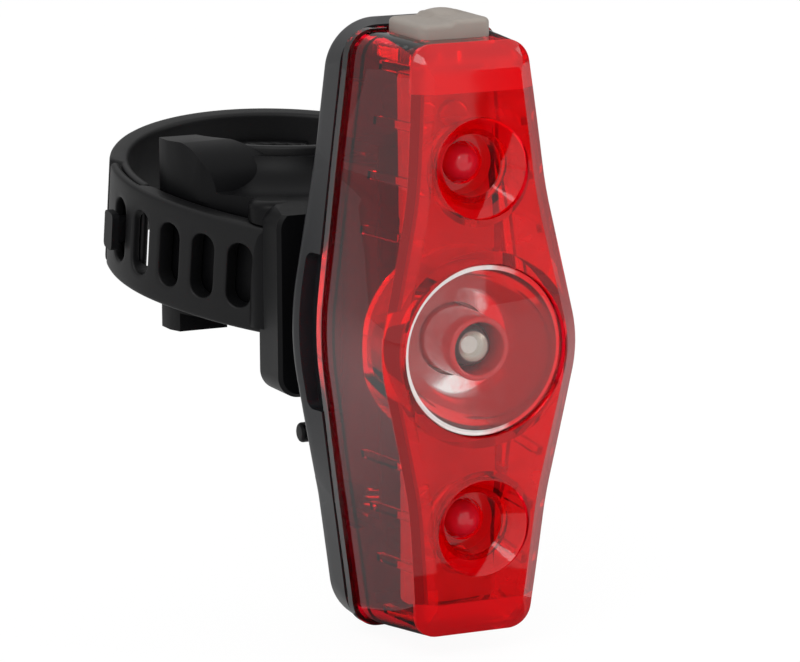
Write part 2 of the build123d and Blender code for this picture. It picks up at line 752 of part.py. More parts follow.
def flare(side, outer, inner):
    """Flat flare of the strap on one side, from the ring down to the shoe."""
    start = 180 + flare_from if side < 0 else 360 - flare_from
    sweep_by = flare_sweep if side < 0 else -flare_sweep
    with BuildSketch() as sketch:
        with BuildLine():
            first = CenterArc(flare_centre(side), outer, start, sweep_by)
            second = CenterArc(flare_centre(side), inner, start, sweep_by)
            Line(first @ 0, second @ 0)
            Line(first @ 1, second @ 1)
        make_face()
    return sketch.sketch


def anchor_spot():
    """Where the bead at the strap's end lies in the strap's plane, for the right side."""
    end = math.radians(180 + flare_from + flare_sweep)
    cx, cy = flare_centre(-1)
    mid = flare_r - strap_t + 0.2
    return -cx - mid * math.cos(end), cy + mid * math.sin(end) + 0.6


def anchor(side, grow=0.0):
    """Round bead at the strap's end, held in the bracket's socket."""
    x, y = anchor_spot()
    return Pos(side * x, y) * Circle(strap_bead_r + grow)


def strap_band(grow=0.0):
    """Whole strap as one band, larger by grow on every side; the bracket is relieved with it."""
    flat = ring_sector(ring_r + grow, ring_r - strap_t - grow, -flare_from, 180 + flare_from)
    for side in (1, -1):
        flat += flare(side, flare_r + grow, flare_r - strap_t - grow)
        flat += anchor(side, grow)
    return extrude(strap_plane() * flat, amount=strap_h / 2 + grow, both=True)


def along(distance):
    """Angle on the ring, in degrees, at a distance along the strap's outside from its left end."""
    flare_len = flare_r * math.radians(flare_sweep)
    return 180 + flare_from - math.degrees((distance - flare_len) / ring_r)


stud_at = slot_first + (slot_count - 1) * slot_pitch


def strap_slot(distance):
    """Cutter for one slot of the strap, square to its surface."""
    flare_len = flare_r * math.radians(flare_sweep)
    if distance < flare_len:
        angle = 180 + flare_from + flare_sweep - math.degrees(distance / flare_r)
        centre, radius = flare_centre(-1), flare_r
    else:
        angle, centre, radius = along(distance), (0, ring_centre()), ring_r
    a = math.radians(angle)
    out = (math.cos(a), math.sin(a), 0)
    spot = (centre[0] + radius * out[0], centre[1] + radius * out[1], 0)
    slot = Plane(origin=spot, x_dir=(0, 0, 1), z_dir=out) * SlotOverall(slot_h, slot_w)
    return strap_plane() * extrude(slot, amount=6, both=True)


def strap_tail():
    """Slotted end of the strap: from the shoe's left side to just past the stud, thinner where it laps."""
    lap_start, lap_end = along(stud_at - lap_before), along(stud_at + lap_after)
    mid_r = ring_r - strap_t / 2
    flat = flare(-1, flare_r, flare_r - strap_t) + anchor(-1)
    flat += ring_sector(ring_r, ring_r - strap_t, lap_start, 180 + flare_from)
    flat += ring_sector(ring_r, mid_r + 0.1, lap_end, lap_start)
    band = extrude(strap_plane() * flat, amount=strap_h / 2, both=True)
    for row in range(slot_count):
        band -= strap_slot(slot_first + row * slot_pitch)
    return band


def strap_main():
    """Plain end of the strap: from the shoe's right side round the back to the lap, with a grip pad."""
    lap_start, lap_end = along(stud_at - lap_before) - 1, along(stud_at + lap_after) - 1
    mid_r = ring_r - strap_t / 2
    flat = flare(1, flare_r, flare_r - strap_t) + anchor(1)
    flat += ring_sector(ring_r, ring_r - strap_t, -flare_from, lap_end)
    flat += ring_sector(mid_r - 0.1, ring_r - strap_t, lap_end, lap_start)
    band = extrude(strap_plane() * flat, amount=strap_h / 2, both=True)
    inner = ring_r - strap_t
    pad = ring_sector(inner + 0.1, inner - grip_pad_t, 90 - grip_pad_angle / 2, 90 + grip_pad_angle / 2)
    low = strap_plane().offset(-grip_pad_drop - grip_pad_h / 2)
    return band + extrude(low * pad, amount=grip_pad_h)


def strap_stud():
    """Hard stud through the plain end, with a T-shaped head that the slot is pulled over."""
    a = math.radians(along(stud_at))
    out = (math.cos(a), math.sin(a), 0)

    def plate(r0, r1, height, width):
        base = Plane(origin=(r0 * out[0], ring_centre() + r0 * out[1], 0), x_dir=(0, 0, 1), z_dir=out)
        return extrude(base * RectangleRounded(height, width, 0.7), amount=r1 - r0)

    inner = ring_r - strap_t
    stud = plate(inner - 0.7, inner, stud_head_h, stud_head_w + 1)
    stud += plate(inner - 0.1, ring_r + stud_stand_off + 0.1, stud_neck_h, stud_neck_w)
    stud += plate(ring_r + stud_stand_off, ring_r + stud_stand_off + stud_head_t, stud_head_h, stud_head_w)
    return strap_plane() * stud


def save(name, shape):
    """Writes one node."""
    export_step(shape, f"parts/{name}.step")


stud = strap_stud()
save("front_lens", front_lens())
save("centre_lens", centre_lens())
save("centre_reflector", centre_reflector())
save("led_collar", led_collar())
save("centre_led", diode(0, centre_led_r, centre_led_r + 0.35, centre_led_depth))
save("upper_led", diode(dish_z, led_r, led_flange_r, small_led_depth))
save("lower_led", diode(-dish_z, led_r, led_flange_r, small_led_depth))
save("circuit_board", circuit_board())
save("board_parts", board_parts())
save("tact_switch", tact_switch())
save("switch_stem", switch_stem())
save("button_pad", button_pad())
save("battery_left", cell(-1))
save("battery_right", cell(1))
save("battery_tray", battery_tray())
save("bridge_contact", contact_plate(-9.0, 9.0, -1))
save("positive_contact", contact_plate(-9.0, -1.0, 1))
save("negative_contact", contact_plate(1.0, 9.0, 1))
save("contact_springs", Compound([contact_spring(-cell_x, -1), contact_spring(cell_x, 1)]))
save("board_screws", Compound([board_screw(1), board_screw(-1)]))
save("gasket", gasket())
save("rear_housing", rear_housing())
save("bracket_body", bracket_body())
save("saddle_pad", saddle_pad())
save("release_lever", release_lever())
save("strap_main", strap_main() - stud)
save("strap_tail", strap_tail())
save("strap_stud", stud)
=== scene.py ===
"""Looks of the bicycle tail light: finishes, smooth skins, rubber strap and the studio shot."""

import json
import logging
import math
from dataclasses import dataclass
from enum import Enum
from typing import Callable, Sequence, Union

import bmesh
import bpy
import numpy as np
from mathutils import Matrix, Vector


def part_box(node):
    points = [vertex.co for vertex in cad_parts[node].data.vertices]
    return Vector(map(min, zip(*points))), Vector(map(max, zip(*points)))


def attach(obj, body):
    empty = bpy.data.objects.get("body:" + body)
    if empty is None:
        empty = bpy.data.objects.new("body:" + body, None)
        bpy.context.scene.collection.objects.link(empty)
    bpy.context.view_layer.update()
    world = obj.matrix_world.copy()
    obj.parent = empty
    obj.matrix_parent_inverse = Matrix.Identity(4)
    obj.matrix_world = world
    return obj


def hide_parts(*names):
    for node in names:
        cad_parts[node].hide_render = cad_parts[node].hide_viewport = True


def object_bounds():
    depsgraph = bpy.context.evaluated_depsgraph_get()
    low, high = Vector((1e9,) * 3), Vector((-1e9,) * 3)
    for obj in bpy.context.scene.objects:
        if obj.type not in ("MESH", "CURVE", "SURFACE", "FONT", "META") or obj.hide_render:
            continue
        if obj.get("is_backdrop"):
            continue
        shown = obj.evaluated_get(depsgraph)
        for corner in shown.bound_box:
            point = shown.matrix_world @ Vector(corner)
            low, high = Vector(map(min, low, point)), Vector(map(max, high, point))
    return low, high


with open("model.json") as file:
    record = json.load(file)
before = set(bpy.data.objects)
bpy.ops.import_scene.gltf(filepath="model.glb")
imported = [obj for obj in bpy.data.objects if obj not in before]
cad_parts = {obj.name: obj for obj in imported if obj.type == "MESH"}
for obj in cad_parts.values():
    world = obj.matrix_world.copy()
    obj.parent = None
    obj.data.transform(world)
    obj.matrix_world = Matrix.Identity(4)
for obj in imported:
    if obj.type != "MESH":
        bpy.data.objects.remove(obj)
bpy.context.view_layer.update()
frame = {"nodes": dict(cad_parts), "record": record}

log = logging.getLogger("tail_light")

Triple = tuple[float, float, float]
Profile = list[tuple[float, float]]
Depth = Callable[[np.ndarray, np.ndarray], np.ndarray]

MM = 0.001
TAU = 2.0 * math.pi
CAD_SMOOTH_DEG = 32.0

# The light's front face, middle height and seam, in millimetres, and the middle of its face in metres
FACE_Y = -63.0
LIGHT_Z = -9.0
PART_Y = -42.4
LENS_CENTRE = np.array([0.0, FACE_Y, LIGHT_Z]) * MM


# Meshes


def linked(name: str, data: bpy.types.ID) -> bpy.types.Object:
    """New object of a mesh, lamp or camera, linked to the scene."""
    obj = bpy.data.objects.new(name, data)
    bpy.context.scene.collection.objects.link(obj)
    return obj


def grid_faces(rows: int, columns: int, closed_rows: bool = False,
               closed_columns: bool = False) -> np.ndarray:
    """Quads of a rows by columns grid of points, counted row by row.

    Args:
        rows: Number of rows of points.
        columns: Number of points in a row.
        closed_rows: Whether the last row joins the first.
        closed_columns: Whether each row's last point joins its first.

    Returns:
        Array of quads as point indices.
    """
    i = np.arange(rows if closed_rows else rows - 1)[:, None]
    j = np.arange(columns if closed_columns else columns - 1)[None, :]
    i2, j2 = (i + 1) % rows, (j + 1) % columns
    corners = [i * columns + j, i2 * columns + j, i2 * columns + j2, i * columns + j2]
    return np.stack([np.broadcast_to(c, (i.size, j.size)) for c in corners], axis=-1).reshape(-1, 4)


def mesh_object(name: str, points: np.ndarray, faces: np.ndarray,
                smooth_deg: float = 40.0) -> bpy.types.Object:
    """Turns points and quads into a clean object with outward faces.

    Args:
        name: Name of the object.
        points: Array of points in metres, in the part's frame.
        faces: Array of quads.
        smooth_deg: Angle between faces past which an edge is sharp, in degrees.

    Returns:
        The new object.
    """
    mesh = bpy.data.meshes.new(name)
    mesh.from_pydata(points.reshape(-1, 3).tolist(), [], faces.tolist())
    return cleaned(linked(name, mesh), smooth_deg)


def cleaned(obj: bpy.types.Object, smooth_deg: float, turn_out: bool = True) -> bpy.types.Object:
    """Merges doubles, turns the faces outward and marks edges sharp past an angle.

    Args:
        obj: Object to clean.
        smooth_deg: Angle between faces past which an edge is sharp, in degrees.
        turn_out: Whether the faces still need turning outward.

    Returns:
        The same object.
    """
    merge_under, drop_under = 2e-6, 1e-6
    work = bmesh.new()
    work.from_mesh(obj.data)
    bmesh.ops.remove_doubles(work, verts=work.verts, dist=merge_under)
    bmesh.ops.dissolve_degenerate(work, edges=work.edges, dist=drop_under)
    if turn_out:
        bmesh.ops.recalc_face_normals(work, faces=work.faces)
    limit = math.radians(smooth_deg)
    for face in work.faces:
        face.smooth = True
    for edge in work.edges:
        edge.smooth = edge.calc_face_angle(0.0) < limit
    work.to_mesh(obj.data)
    work.free()
    return obj


def carried_over(node: str) -> bpy.types.Object:
    """Smoothly shaded copy of a rigid CAD node's mesh, with its doubles merged.

    Args:
        node: Name of the CAD node.

    Returns:
        The copy.
    """
    obj = linked(node + "_skin", frame["nodes"][node].data.copy())
    obj.data.materials.clear()
    if obj.data.has_custom_normals:
        obj.data.attributes.remove(obj.data.attributes["custom_normal"])
    return cleaned(obj, CAD_SMOOTH_DEG, turn_out=False)


@dataclass(frozen=True)
class Skin:
    """Points, in millimetres, and quads of one or more closed surfaces."""

    points: np.ndarray
    faces: np.ndarray

    def __add__(self, other: "Skin") -> "Skin":
        """Both surfaces as one."""
        faces = np.vstack([self.faces, other.faces + len(self.points)])
        return Skin(np.vstack([self.points, other.points]), faces)

    def made(self, name: str, smooth_deg: float = 40.0) -> bpy.types.Object:
        """Object of the surfaces, with edges sharp past smooth_deg."""
        return mesh_object(name, self.points * MM, self.faces, smooth_deg)


def grid_skin(points: np.ndarray, closed_rows: bool = False, closed_columns: bool = False) -> Skin:
    """Skin over a grid of points.

    Args:
        points: Array of rows by columns by 3.
        closed_rows: Whether the last row joins the first.
        closed_columns: Whether each row's last point joins its first.

    Returns:
        The skin.
    """
    rows, columns = points.shape[:2]
    return Skin(points.reshape(-1, 3), grid_faces(rows, columns, closed_rows, closed_columns))


def swept_round(profile: Profile, centre: Triple, axis: str = "Y", segments: int = 96) -> Skin:
    """Closed profile carried round an axis through a point.

    A point (r, a) at turn t is a along the axis and r (cos t, sin t) across it.

    Args:
        profile: Closed ring of (radius, distance along the axis) points in millimetres.
        centre: Point on the axis, in millimetres.
        axis: Y or Z.
        segments: Steps round the axis.

    Returns:
        The skin.
    """
    ring = np.array(profile, float)
    t = np.linspace(0.0, TAU, segments, endpoint=False)[None, :]
    r, a = ring[:, :1], ring[:, 1:]
    across, up = r * np.cos(t), r * np.sin(t)
    along = a + 0.0 * t
    points = np.stack([across, along, up] if axis == "Y" else [across, up, along], axis=-1) + np.array(centre)
    return grid_skin(points, True, True)


def arc(centre: tuple[float, float], radius: float, start_deg: float, end_deg: float, steps: int) -> Profile:
    """Points on a circular arc: centre + radius (cos t, sin t).

    Args:
        centre: Centre of the circle.
        radius: Radius.
        start_deg: First angle, in degrees.
        end_deg: Last angle, in degrees.
        steps: Number of points.

    Returns:
        The points.
    """
    t = np.radians(np.linspace(start_deg, end_deg, steps))
    return list(zip(centre[0] + radius * np.cos(t), centre[1] + radius * np.sin(t)))


def eased(x: np.ndarray, low: float, high: float) -> np.ndarray:
    """Smooth step from 0 at low to 1 at high: 3 t^2 - 2 t^3."""
    t = np.clip((x - low) / (high - low), 0.0, 1.0)
    return t * t * (3.0 - 2.0 * t)


# Paths and bands


@dataclass(frozen=True)
class PostPath:
    """Circle round the seatpost, walked from one edge of the saddle to the other."""

    radius: float
    start_deg: float

    def place(self, s: np.ndarray, h: np.ndarray, d: np.ndarray) -> np.ndarray:
        """Point at s along, h up and d out: ((r + d) cos a, (r + d) sin a, h) with a = start + s / r."""
        a = math.radians(self.start_deg) + s / self.radius
        return np.stack([(self.radius + d) * np.cos(a), (self.radius + d) * np.sin(a), h + 0.0 * s], axis=-1)


@dataclass(frozen=True)
class StrapPath:
    """Outside of the strap: a flare beside the shoe that runs on into a ring round the seatpost.

    Both lie in a plane that is tilted up towards the back. The side is -1 for the left and 1 for the right.
    """

    side: int
    origin_y: float = -24.3
    drop: float = 4.8
    tilt_deg: float = 9.6
    ring_r: float = 26.5
    flare_r: float = 46.0
    flare_from: float = 19.3
    flare_sweep: float = 23.6
    bead_out: float = 0.2
    bead_back: float = 0.6

    @property
    def flare_len(self) -> float:
        """Length of the flare."""
        return self.flare_r * math.radians(self.flare_sweep)

    @property
    def ring_back(self) -> float:
        """How far the ring's centre lies behind the plane's origin."""
        start, end = math.radians(self.flare_from), math.radians(180 + self.flare_from + self.flare_sweep)
        return -(self.flare_r - self.ring_r) * math.sin(start) - self.flare_r * math.sin(end)

    def angle_at(self, s: float) -> float:
        """Angle of the ring at a distance, where 180 is the middle of this path's side and 90 the back."""
        return 180 + self.flare_from - math.degrees((s - self.flare_len) / self.ring_r)

    def distance_at(self, angle_deg: float) -> float:
        """Distance walked at an angle of the ring."""
        return self.flare_len + self.ring_r * math.radians(180 + self.flare_from - angle_deg)

    def place(self, s: np.ndarray, h: np.ndarray, d: np.ndarray) -> np.ndarray:
        """Point on or near the strap's outside.

        On the flare it is c_f + (r_f + d) (cos a, sin a) with a = a_f - s / r_f, and on the ring
        c_r + (r_r + d) (cos b, sin b) with b = b_r - (s - flare) / r_r; then the plane is tilted.

        Args:
            s: Distances along the outside.
            h: Heights up the strap.
            d: Distances out of it.

        Returns:
            Array of points.
        """
        start = math.radians(self.flare_from)
        on_flare = s < self.flare_len
        a = math.pi + start + math.radians(self.flare_sweep) - s / self.flare_r
        b = math.pi + start - (s - self.flare_len) / self.ring_r
        turn = np.where(on_flare, a, b)
        radius = np.where(on_flare, self.flare_r, self.ring_r) + d
        shift = self.flare_r - self.ring_r
        u = np.where(on_flare, shift * math.cos(start), 0.0) + radius * np.cos(turn)
        centre_v = np.where(on_flare, self.ring_back + shift * math.sin(start), self.ring_back)
        return self.lifted(-self.side * u, centre_v + radius * np.sin(turn), h + 0.0 * s)

    def lifted(self, u: np.ndarray, v: np.ndarray, h: np.ndarray) -> np.ndarray:
        """Turns the plane's points (u, v, h) by the tilt about X and puts them in the part's frame.

        Args:
            u: Distances across.
            v: Distances back from the plane's origin.
            h: Heights above the plane.

        Returns:
            Array of points.
        """
        tilt = math.radians(self.tilt_deg)
        y = self.origin_y + v * math.cos(tilt) - h * math.sin(tilt)
        z = -self.drop + v * math.sin(tilt) + h * math.cos(tilt)
        return np.stack([u + 0.0 * v, y, z], axis=-1)

    def bead_spot(self, thickness: float) -> tuple[float, float]:
        """Middle of the bead that ends the strap inside the shoe.

        Args:
            thickness: The strap's thickness.

        Returns:
            Its u and v in the plane.
        """
        start, end = math.radians(self.flare_from), math.radians(180 + self.flare_from + self.flare_sweep)
        shift, mid = self.flare_r - self.ring_r, self.flare_r - thickness + self.bead_out
        u = shift * math.cos(start) + mid * math.cos(end)
        v = self.ring_back + shift * math.sin(start) + mid * math.sin(end) + self.bead_back
        return -self.side * u, v


@dataclass(frozen=True)
class SlotRow:
    """Row of upright slots with round ends and rounded lips."""

    count: int
    first: float = 3.7
    pitch: float = 6.1
    half_width: float = 1.9
    half_height: float = 4.6
    lip: float = 0.35

    def cells(self) -> list[tuple[float, float]]:
        """Start and end of the length of band round each slot."""
        middles = [self.first + k * self.pitch for k in range(self.count)]
        return [(s - self.pitch / 2, s + self.pitch / 2) for s in middles]


@dataclass(frozen=True)
class Band:
    """Flexible band on a path: two faces, an edge rounded all the way round, and slots in some lengths."""

    path: Union[PostPath, StrapPath]
    start: float
    end: float
    low: float
    high: float
    outer: Depth
    inner: Depth
    edge: float
    step: float = 1.0
    rows: int = 15
    slots: SlotRow = SlotRow(0)

    def heights(self) -> np.ndarray:
        """Heights of the faces' grid lines."""
        return np.linspace(self.low + self.edge, self.high - self.edge, self.rows)

    def stations(self, a: float, b: float) -> np.ndarray:
        """Distances of the faces' grid lines between a and b."""
        return np.linspace(a, b, max(2, math.ceil((b - a) / self.step) + 1))

    def spans(self) -> list[tuple[float, float]]:
        """Start and end of each plain length between the band's ends and its slots' cells."""
        cuts = [self.start + self.edge, *sum(self.slots.cells(), ()), self.end - self.edge]
        return [(a, b) for a, b in zip(cuts[::2], cuts[1::2]) if b - a > 1e-6]

    def face(self, a: float, b: float) -> Skin:
        """Outer and inner face of the plain length from a to b."""
        s, h = np.meshgrid(self.stations(a, b), self.heights(), indexing="ij")
        front, back = (self.path.place(s, h, depth(s, h)) for depth in (self.outer, self.inner))
        return grid_skin(front) + grid_skin(back)

    def cell(self, a: float, b: float) -> Skin:
        """Both faces and the wall of a slot.

        The rows blend the cell's border into a stadium: c + (w + g) e, for the half width w, the nearest
        point c of the slot's middle line and the direction e away from it. At each lip g shrinks and the
        depth sinks along a quarter circle.

        Args:
            a: Where the slot's cell starts.
            b: Where it ends.

        Returns:
            The skin.
        """
        s_line, h_line = self.stations(a, b), self.heights()
        along, up = len(s_line) - 1, len(h_line) - 1
        s = np.concatenate([s_line[:-1], np.full(up, s_line[-1]), s_line[:0:-1], np.full(up, s_line[0])])
        low, high = np.full(along, h_line[0]), np.full(along, h_line[-1])
        h = np.concatenate([low, h_line[:-1], high, h_line[:0:-1]])
        half_w, half_h, lip = self.slots.half_width, self.slots.half_height, self.slots.lip
        centre, middle = (a + b) / 2, (h_line[0] + h_line[-1]) / 2
        x = (s - centre) * half_w / ((b - a) / 2)
        y = (h - middle) * half_h / ((h_line[-1] - h_line[0]) / 2)
        c = np.clip(y, half_w - half_h, half_h - half_w)
        size = np.hypot(x, y - c)
        e_s, e_h = x / size, (y - c) / size
        turn = np.radians([0, 30, 60, 90])
        border = [0.0, 0.35, 0.7]
        blend = np.array(border + [1.0] * turn.size)[:, None]
        grow = np.array([lip] * len(border) + list(lip * (1 - np.sin(turn))))[:, None]
        sink = np.array([0.0] * len(border) + list(lip * (1 - np.cos(turn))))[:, None]
        ring_s = (1 - blend) * s + blend * (centre + (half_w + grow) * e_s)
        ring_h = (1 - blend) * h + blend * (middle + c + (half_w + grow) * e_h)
        front = self.path.place(ring_s, ring_h, self.outer(ring_s, ring_h) - sink)
        back = self.path.place(ring_s, ring_h, self.inner(ring_s, ring_h) + sink)
        return grid_skin(np.concatenate([front, back[::-1]]), closed_columns=True)

    def rim(self) -> Skin:
        """Edge all the way round: two quarter circles joined by a flat, with a fan of them at each corner.

        A point of the faces' border with the outward direction e moves edge sin t along e and goes
        edge (1 - cos t) deep.

        Returns:
            The skin.
        """
        lengths = self.spans() + self.slots.cells()
        s_line = np.unique(np.round(np.concatenate([self.stations(a, b) for a, b in lengths]), 9))
        h_line = self.heights()
        fan = np.radians(np.arange(0, 91, 18))
        sides = [(s_line[1:-1], h_line[0], 0, -1), (s_line[-1], h_line[1:-1], 1, 0),
                 (s_line[-2:0:-1], h_line[-1], 0, 1), (s_line[0], h_line[-2:0:-1], -1, 0)]
        corners = [(s_line[-1], h_line[0], -90), (s_line[-1], h_line[-1], 0),
                   (s_line[0], h_line[-1], 90), (s_line[0], h_line[0], 180)]
        loop = []
        for side, (corner_s, corner_h, first_deg) in zip(sides, corners):
            count = np.broadcast(*side[:2]).shape
            loop.append(np.stack([np.broadcast_to(v, count) for v in side]))
            turn = fan + math.radians(first_deg)
            place = [np.full(fan.size, v) for v in (corner_s, corner_h)]
            loop.append(np.stack([*place, np.cos(turn), np.sin(turn)]))
        s, h, e_s, e_h = np.concatenate(loop, axis=1)
        turn = np.radians([0, 22.5, 45, 67.5, 90])[:, None]
        out_s, out_h = s + self.edge * np.sin(turn) * e_s, h + self.edge * np.sin(turn) * e_h
        front, back = self.outer(s, h), self.inner(s, h)
        depth = np.minimum(self.edge, (front - back) / 2) * (1 - np.cos(turn))
        upper = self.path.place(out_s, out_h, front - depth)
        lower = self.path.place(out_s, out_h, back + depth)
        return grid_skin(np.concatenate([upper, lower[::-1]]), closed_columns=True)

    def skin(self) -> Skin:
        """Whole band: its rim, plain lengths and slots."""
        pieces = [self.face(*span) for span in self.spans()]
        pieces += [self.cell(*cell) for cell in self.slots.cells()]
        return sum(pieces, self.rim())


@dataclass(frozen=True)
class RoundedOutline:
    """Closed outline with rounded corners, each (across, up, radius) of the polygon, walked anticlockwise."""

    corners: Sequence[Triple]

    def ring(self, arc_steps: int = 9) -> tuple[np.ndarray, np.ndarray]:
        """Points on the outline and their outward directions.

        Each corner of the polygon is replaced by an arc of its own radius r. The arc's centre lies
        r / sin(half angle) from the corner on its bisector.

        Args:
            arc_steps: Points on each arc.

        Returns:
            Two arrays of (across, up).
        """
        table = np.array(self.corners, float)
        p, radius = table[:, :2], table[:, 2]
        to_last, to_next = np.roll(p, 1, axis=0) - p, np.roll(p, -1, axis=0) - p
        to_last /= np.linalg.norm(to_last, axis=1)[:, None]
        to_next /= np.linalg.norm(to_next, axis=1)[:, None]
        bisector = to_last + to_next
        bisector /= np.linalg.norm(bisector, axis=1)[:, None]
        half = np.arccos(np.clip((to_last * to_next).sum(axis=1), -1, 1)) / 2
        centre = p + bisector * (radius / np.sin(half))[:, None]
        middle = np.arctan2(-bisector[:, 1], -bisector[:, 0])
        sweep = (math.pi / 2 - half)[:, None] * np.linspace(-1, 1, arc_steps)[None, :]
        turn = middle[:, None] + sweep
        out = np.stack([np.cos(turn), np.sin(turn)], axis=-1)
        points = centre[:, None, :] + radius[:, None, None] * out
        return points.reshape(-1, 2), out.reshape(-1, 2)

    def evenly(self, count: int) -> tuple[np.ndarray, np.ndarray]:
        """The ring's points and outward directions again, spaced evenly along it.

        Args:
            count: Number of points.

        Returns:
            Two arrays of (across, up).
        """
        tables = [np.vstack([table, table[:1]]) for table in self.ring()]
        walked = np.concatenate([[0.0], np.cumsum(np.hypot(*np.diff(tables[0], axis=0).T))])
        at = np.linspace(0.0, walked[-1], count, endpoint=False)
        points, out = (np.stack([np.interp(at, walked, v) for v in table.T], axis=-1) for table in tables)
        return points, out / np.linalg.norm(out, axis=1)[:, None]


# Shader maths


Operand = Union["Field", float]


class Field:
    """A shader socket that adds Math nodes when it is used in arithmetic."""

    def __init__(self, tree: bpy.types.NodeTree, socket: bpy.types.NodeSocket) -> None:
        """Wraps an output socket of a node in tree."""
        self.tree = tree
        self.socket = socket

    def math(self, operation: str, *others: Operand, first: bool = True) -> "Field":
        """Adds one Math node.

        Args:
            operation: Name of the Math operation.
            others: The other operands.
            first: Whether this field is the first operand.

        Returns:
            The node's result.
        """
        node = self.tree.nodes.new("ShaderNodeMath")
        node.operation = operation
        operands = (self, *others) if first else (*others, self)
        for slot, value in zip(node.inputs, operands):
            if isinstance(value, Field):
                self.tree.links.new(value.socket, slot)
            else:
                slot.default_value = value
        return Field(self.tree, node.outputs[0])

    def __add__(self, other: Operand) -> "Field":
        """Sum."""
        return self.math("ADD", other)

    __radd__ = __add__

    def __mul__(self, other: Operand) -> "Field":
        """Product."""
        return self.math("MULTIPLY", other)

    __rmul__ = __mul__

    def __sub__(self, other: Operand) -> "Field":
        """Difference."""
        return self.math("SUBTRACT", other)

    def __rsub__(self, other: float) -> "Field":
        """Difference from a number."""
        return self.math("SUBTRACT", other, first=False)

    def __gt__(self, other: float) -> "Field":
        """One where larger than the other, else zero."""
        return self.math("GREATER_THAN", other)


class Recipe:
    """A material being written, with one method for every node that isn't a Math node."""

    def __init__(self, name: str) -> None:
        """Starts an empty material with a Principled shader."""
        self.material = bpy.data.materials.new(name)
        self.material.use_nodes = True
        self.tree = self.material.node_tree
        self.tree.nodes.clear()
        self.output = self.tree.nodes.new("ShaderNodeOutputMaterial")
        self.shader = self.tree.nodes.new("ShaderNodeBsdfPrincipled")
        self.tree.links.new(self.shader.outputs[0], self.output.inputs["Surface"])

    def node(self, kind: str, output: Union[str, int] = 0, settings: Union[dict, None] = None,
             **inputs: object) -> Field:
        """Adds one node.

        Args:
            kind: Type of the node, without its Shader prefix.
            output: Name or number of the wanted output.
            settings: Attributes that are set before the inputs.
            inputs: Values or fields of the inputs; an underscore in a name stands for a space.

        Returns:
            The wanted output.
        """
        node = self.tree.nodes.new("ShaderNode" + kind)
        for key, value in (settings or {}).items():
            setattr(node, key, value)
        for key, value in inputs.items():
            self.put(node.inputs[key.replace("_", " ")], value)
        return Field(self.tree, node.outputs[output])

    def put(self, socket: bpy.types.NodeSocket, value: object) -> None:
        """Links a field to a socket, or sets a constant on it.

        Args:
            socket: The input socket.
            value: The field or constant.
        """
        if isinstance(value, Field):
            self.tree.links.new(value.socket, socket)
        else:
            socket.default_value = value

    def set(self, **inputs: object) -> None:
        """Sets the Principled shader's inputs; an underscore in a name stands for a space."""
        for key, value in inputs.items():
            self.put(self.shader.inputs[key.replace("_", " ")], value)

    def mix_in(self, other: Field, share: Field) -> None:
        """Mixes another shader into the Principled shader.

        Args:
            other: The other shader.
            share: Its share, from 0 to 1.
        """
        mix = self.tree.nodes.new("ShaderNodeMixShader")
        self.put(mix.inputs[0], share)
        self.tree.links.new(self.shader.outputs[0], mix.inputs[1])
        self.tree.links.new(other.socket, mix.inputs[2])
        self.tree.links.new(mix.outputs[0], self.output.inputs["Surface"])

    def place(self) -> Field:
        """Object coordinates, in metres."""
        return self.node("TexCoord", "Object")

    def noise(self, size_mm: float, detail: float = 3.0) -> Field:
        """Noise between 0 and 1 with features of about size_mm."""
        return self.node("TexNoise", 0, Vector=self.place(), Scale=1.0 / (size_mm * MM), Detail=detail)

    def blend(self, factor: Field, low: Triple, high: Triple) -> Field:
        """Colour between two others.

        Args:
            factor: Share of the second colour.
            low: The first colour.
            high: The second colour.

        Returns:
            The colour.
        """
        node = self.tree.nodes.new("ShaderNodeMix")
        node.data_type = "RGBA"
        low_socket, high_socket, result = node.inputs[6], node.inputs[7], node.outputs[2]
        self.put(node.inputs[0], factor)
        low_socket.default_value = (*low, 1.0)
        high_socket.default_value = (*high, 1.0)
        return Field(self.tree, result)

    def grain(self, height: Field, depth_mm: float) -> Field:
        """Bump from a height between 0 and 1 that is depth_mm deep."""
        return self.node("Bump", Height=height, Strength=1.0, Distance=depth_mm * MM)


# Finishes


@dataclass(frozen=True)
class Moulded:
    """Opaque moulded plastic or rubber with a fine grain."""

    name: str
    colour: Triple
    roughness: float
    grain_mm: float = 0.15
    grain_depth_mm: float = 0.01
    mottle: float = 0.12
    mottle_mm: float = 6.0
    wear: float = 0.1
    specular: float = 0.5

    def material(self) -> bpy.types.Material:
        """Writes the material: broad patches vary colour and roughness, and a fine grain bumps the surface.

        Returns:
            The material.
        """
        recipe = Recipe(self.name)
        broad = recipe.noise(self.mottle_mm)
        fine = recipe.noise(self.grain_mm, 2.0)
        dark = tuple(c * (1 - self.mottle) for c in self.colour)
        light = tuple(c * (1 + self.mottle) for c in self.colour)
        recipe.set(Base_Color=recipe.blend(broad, dark, light),
                   Roughness=broad * self.wear + (self.roughness - self.wear / 2),
                   Normal=recipe.grain(fine, self.grain_depth_mm),
                   Specular_IOR_Level=self.specular)
        return recipe.material


@dataclass(frozen=True)
class ClearResin:
    """Clear or tinted plastic that light passes through, or partly scatters in."""

    name: str
    colour: Triple
    roughness: float = 0.03
    ior: float = 1.45
    clear: float = 1.0
    smear: float = 0.02
    smear_mm: float = 4.0

    def material(self) -> bpy.types.Material:
        """Writes the material: broad smears vary the roughness.

        Returns:
            The material.
        """
        recipe = Recipe(self.name)
        recipe.set(Base_Color=(*self.colour, 1.0), Transmission_Weight=self.clear, IOR=self.ior,
                   Roughness=recipe.noise(self.smear_mm) * self.smear + self.roughness)
        return recipe.material


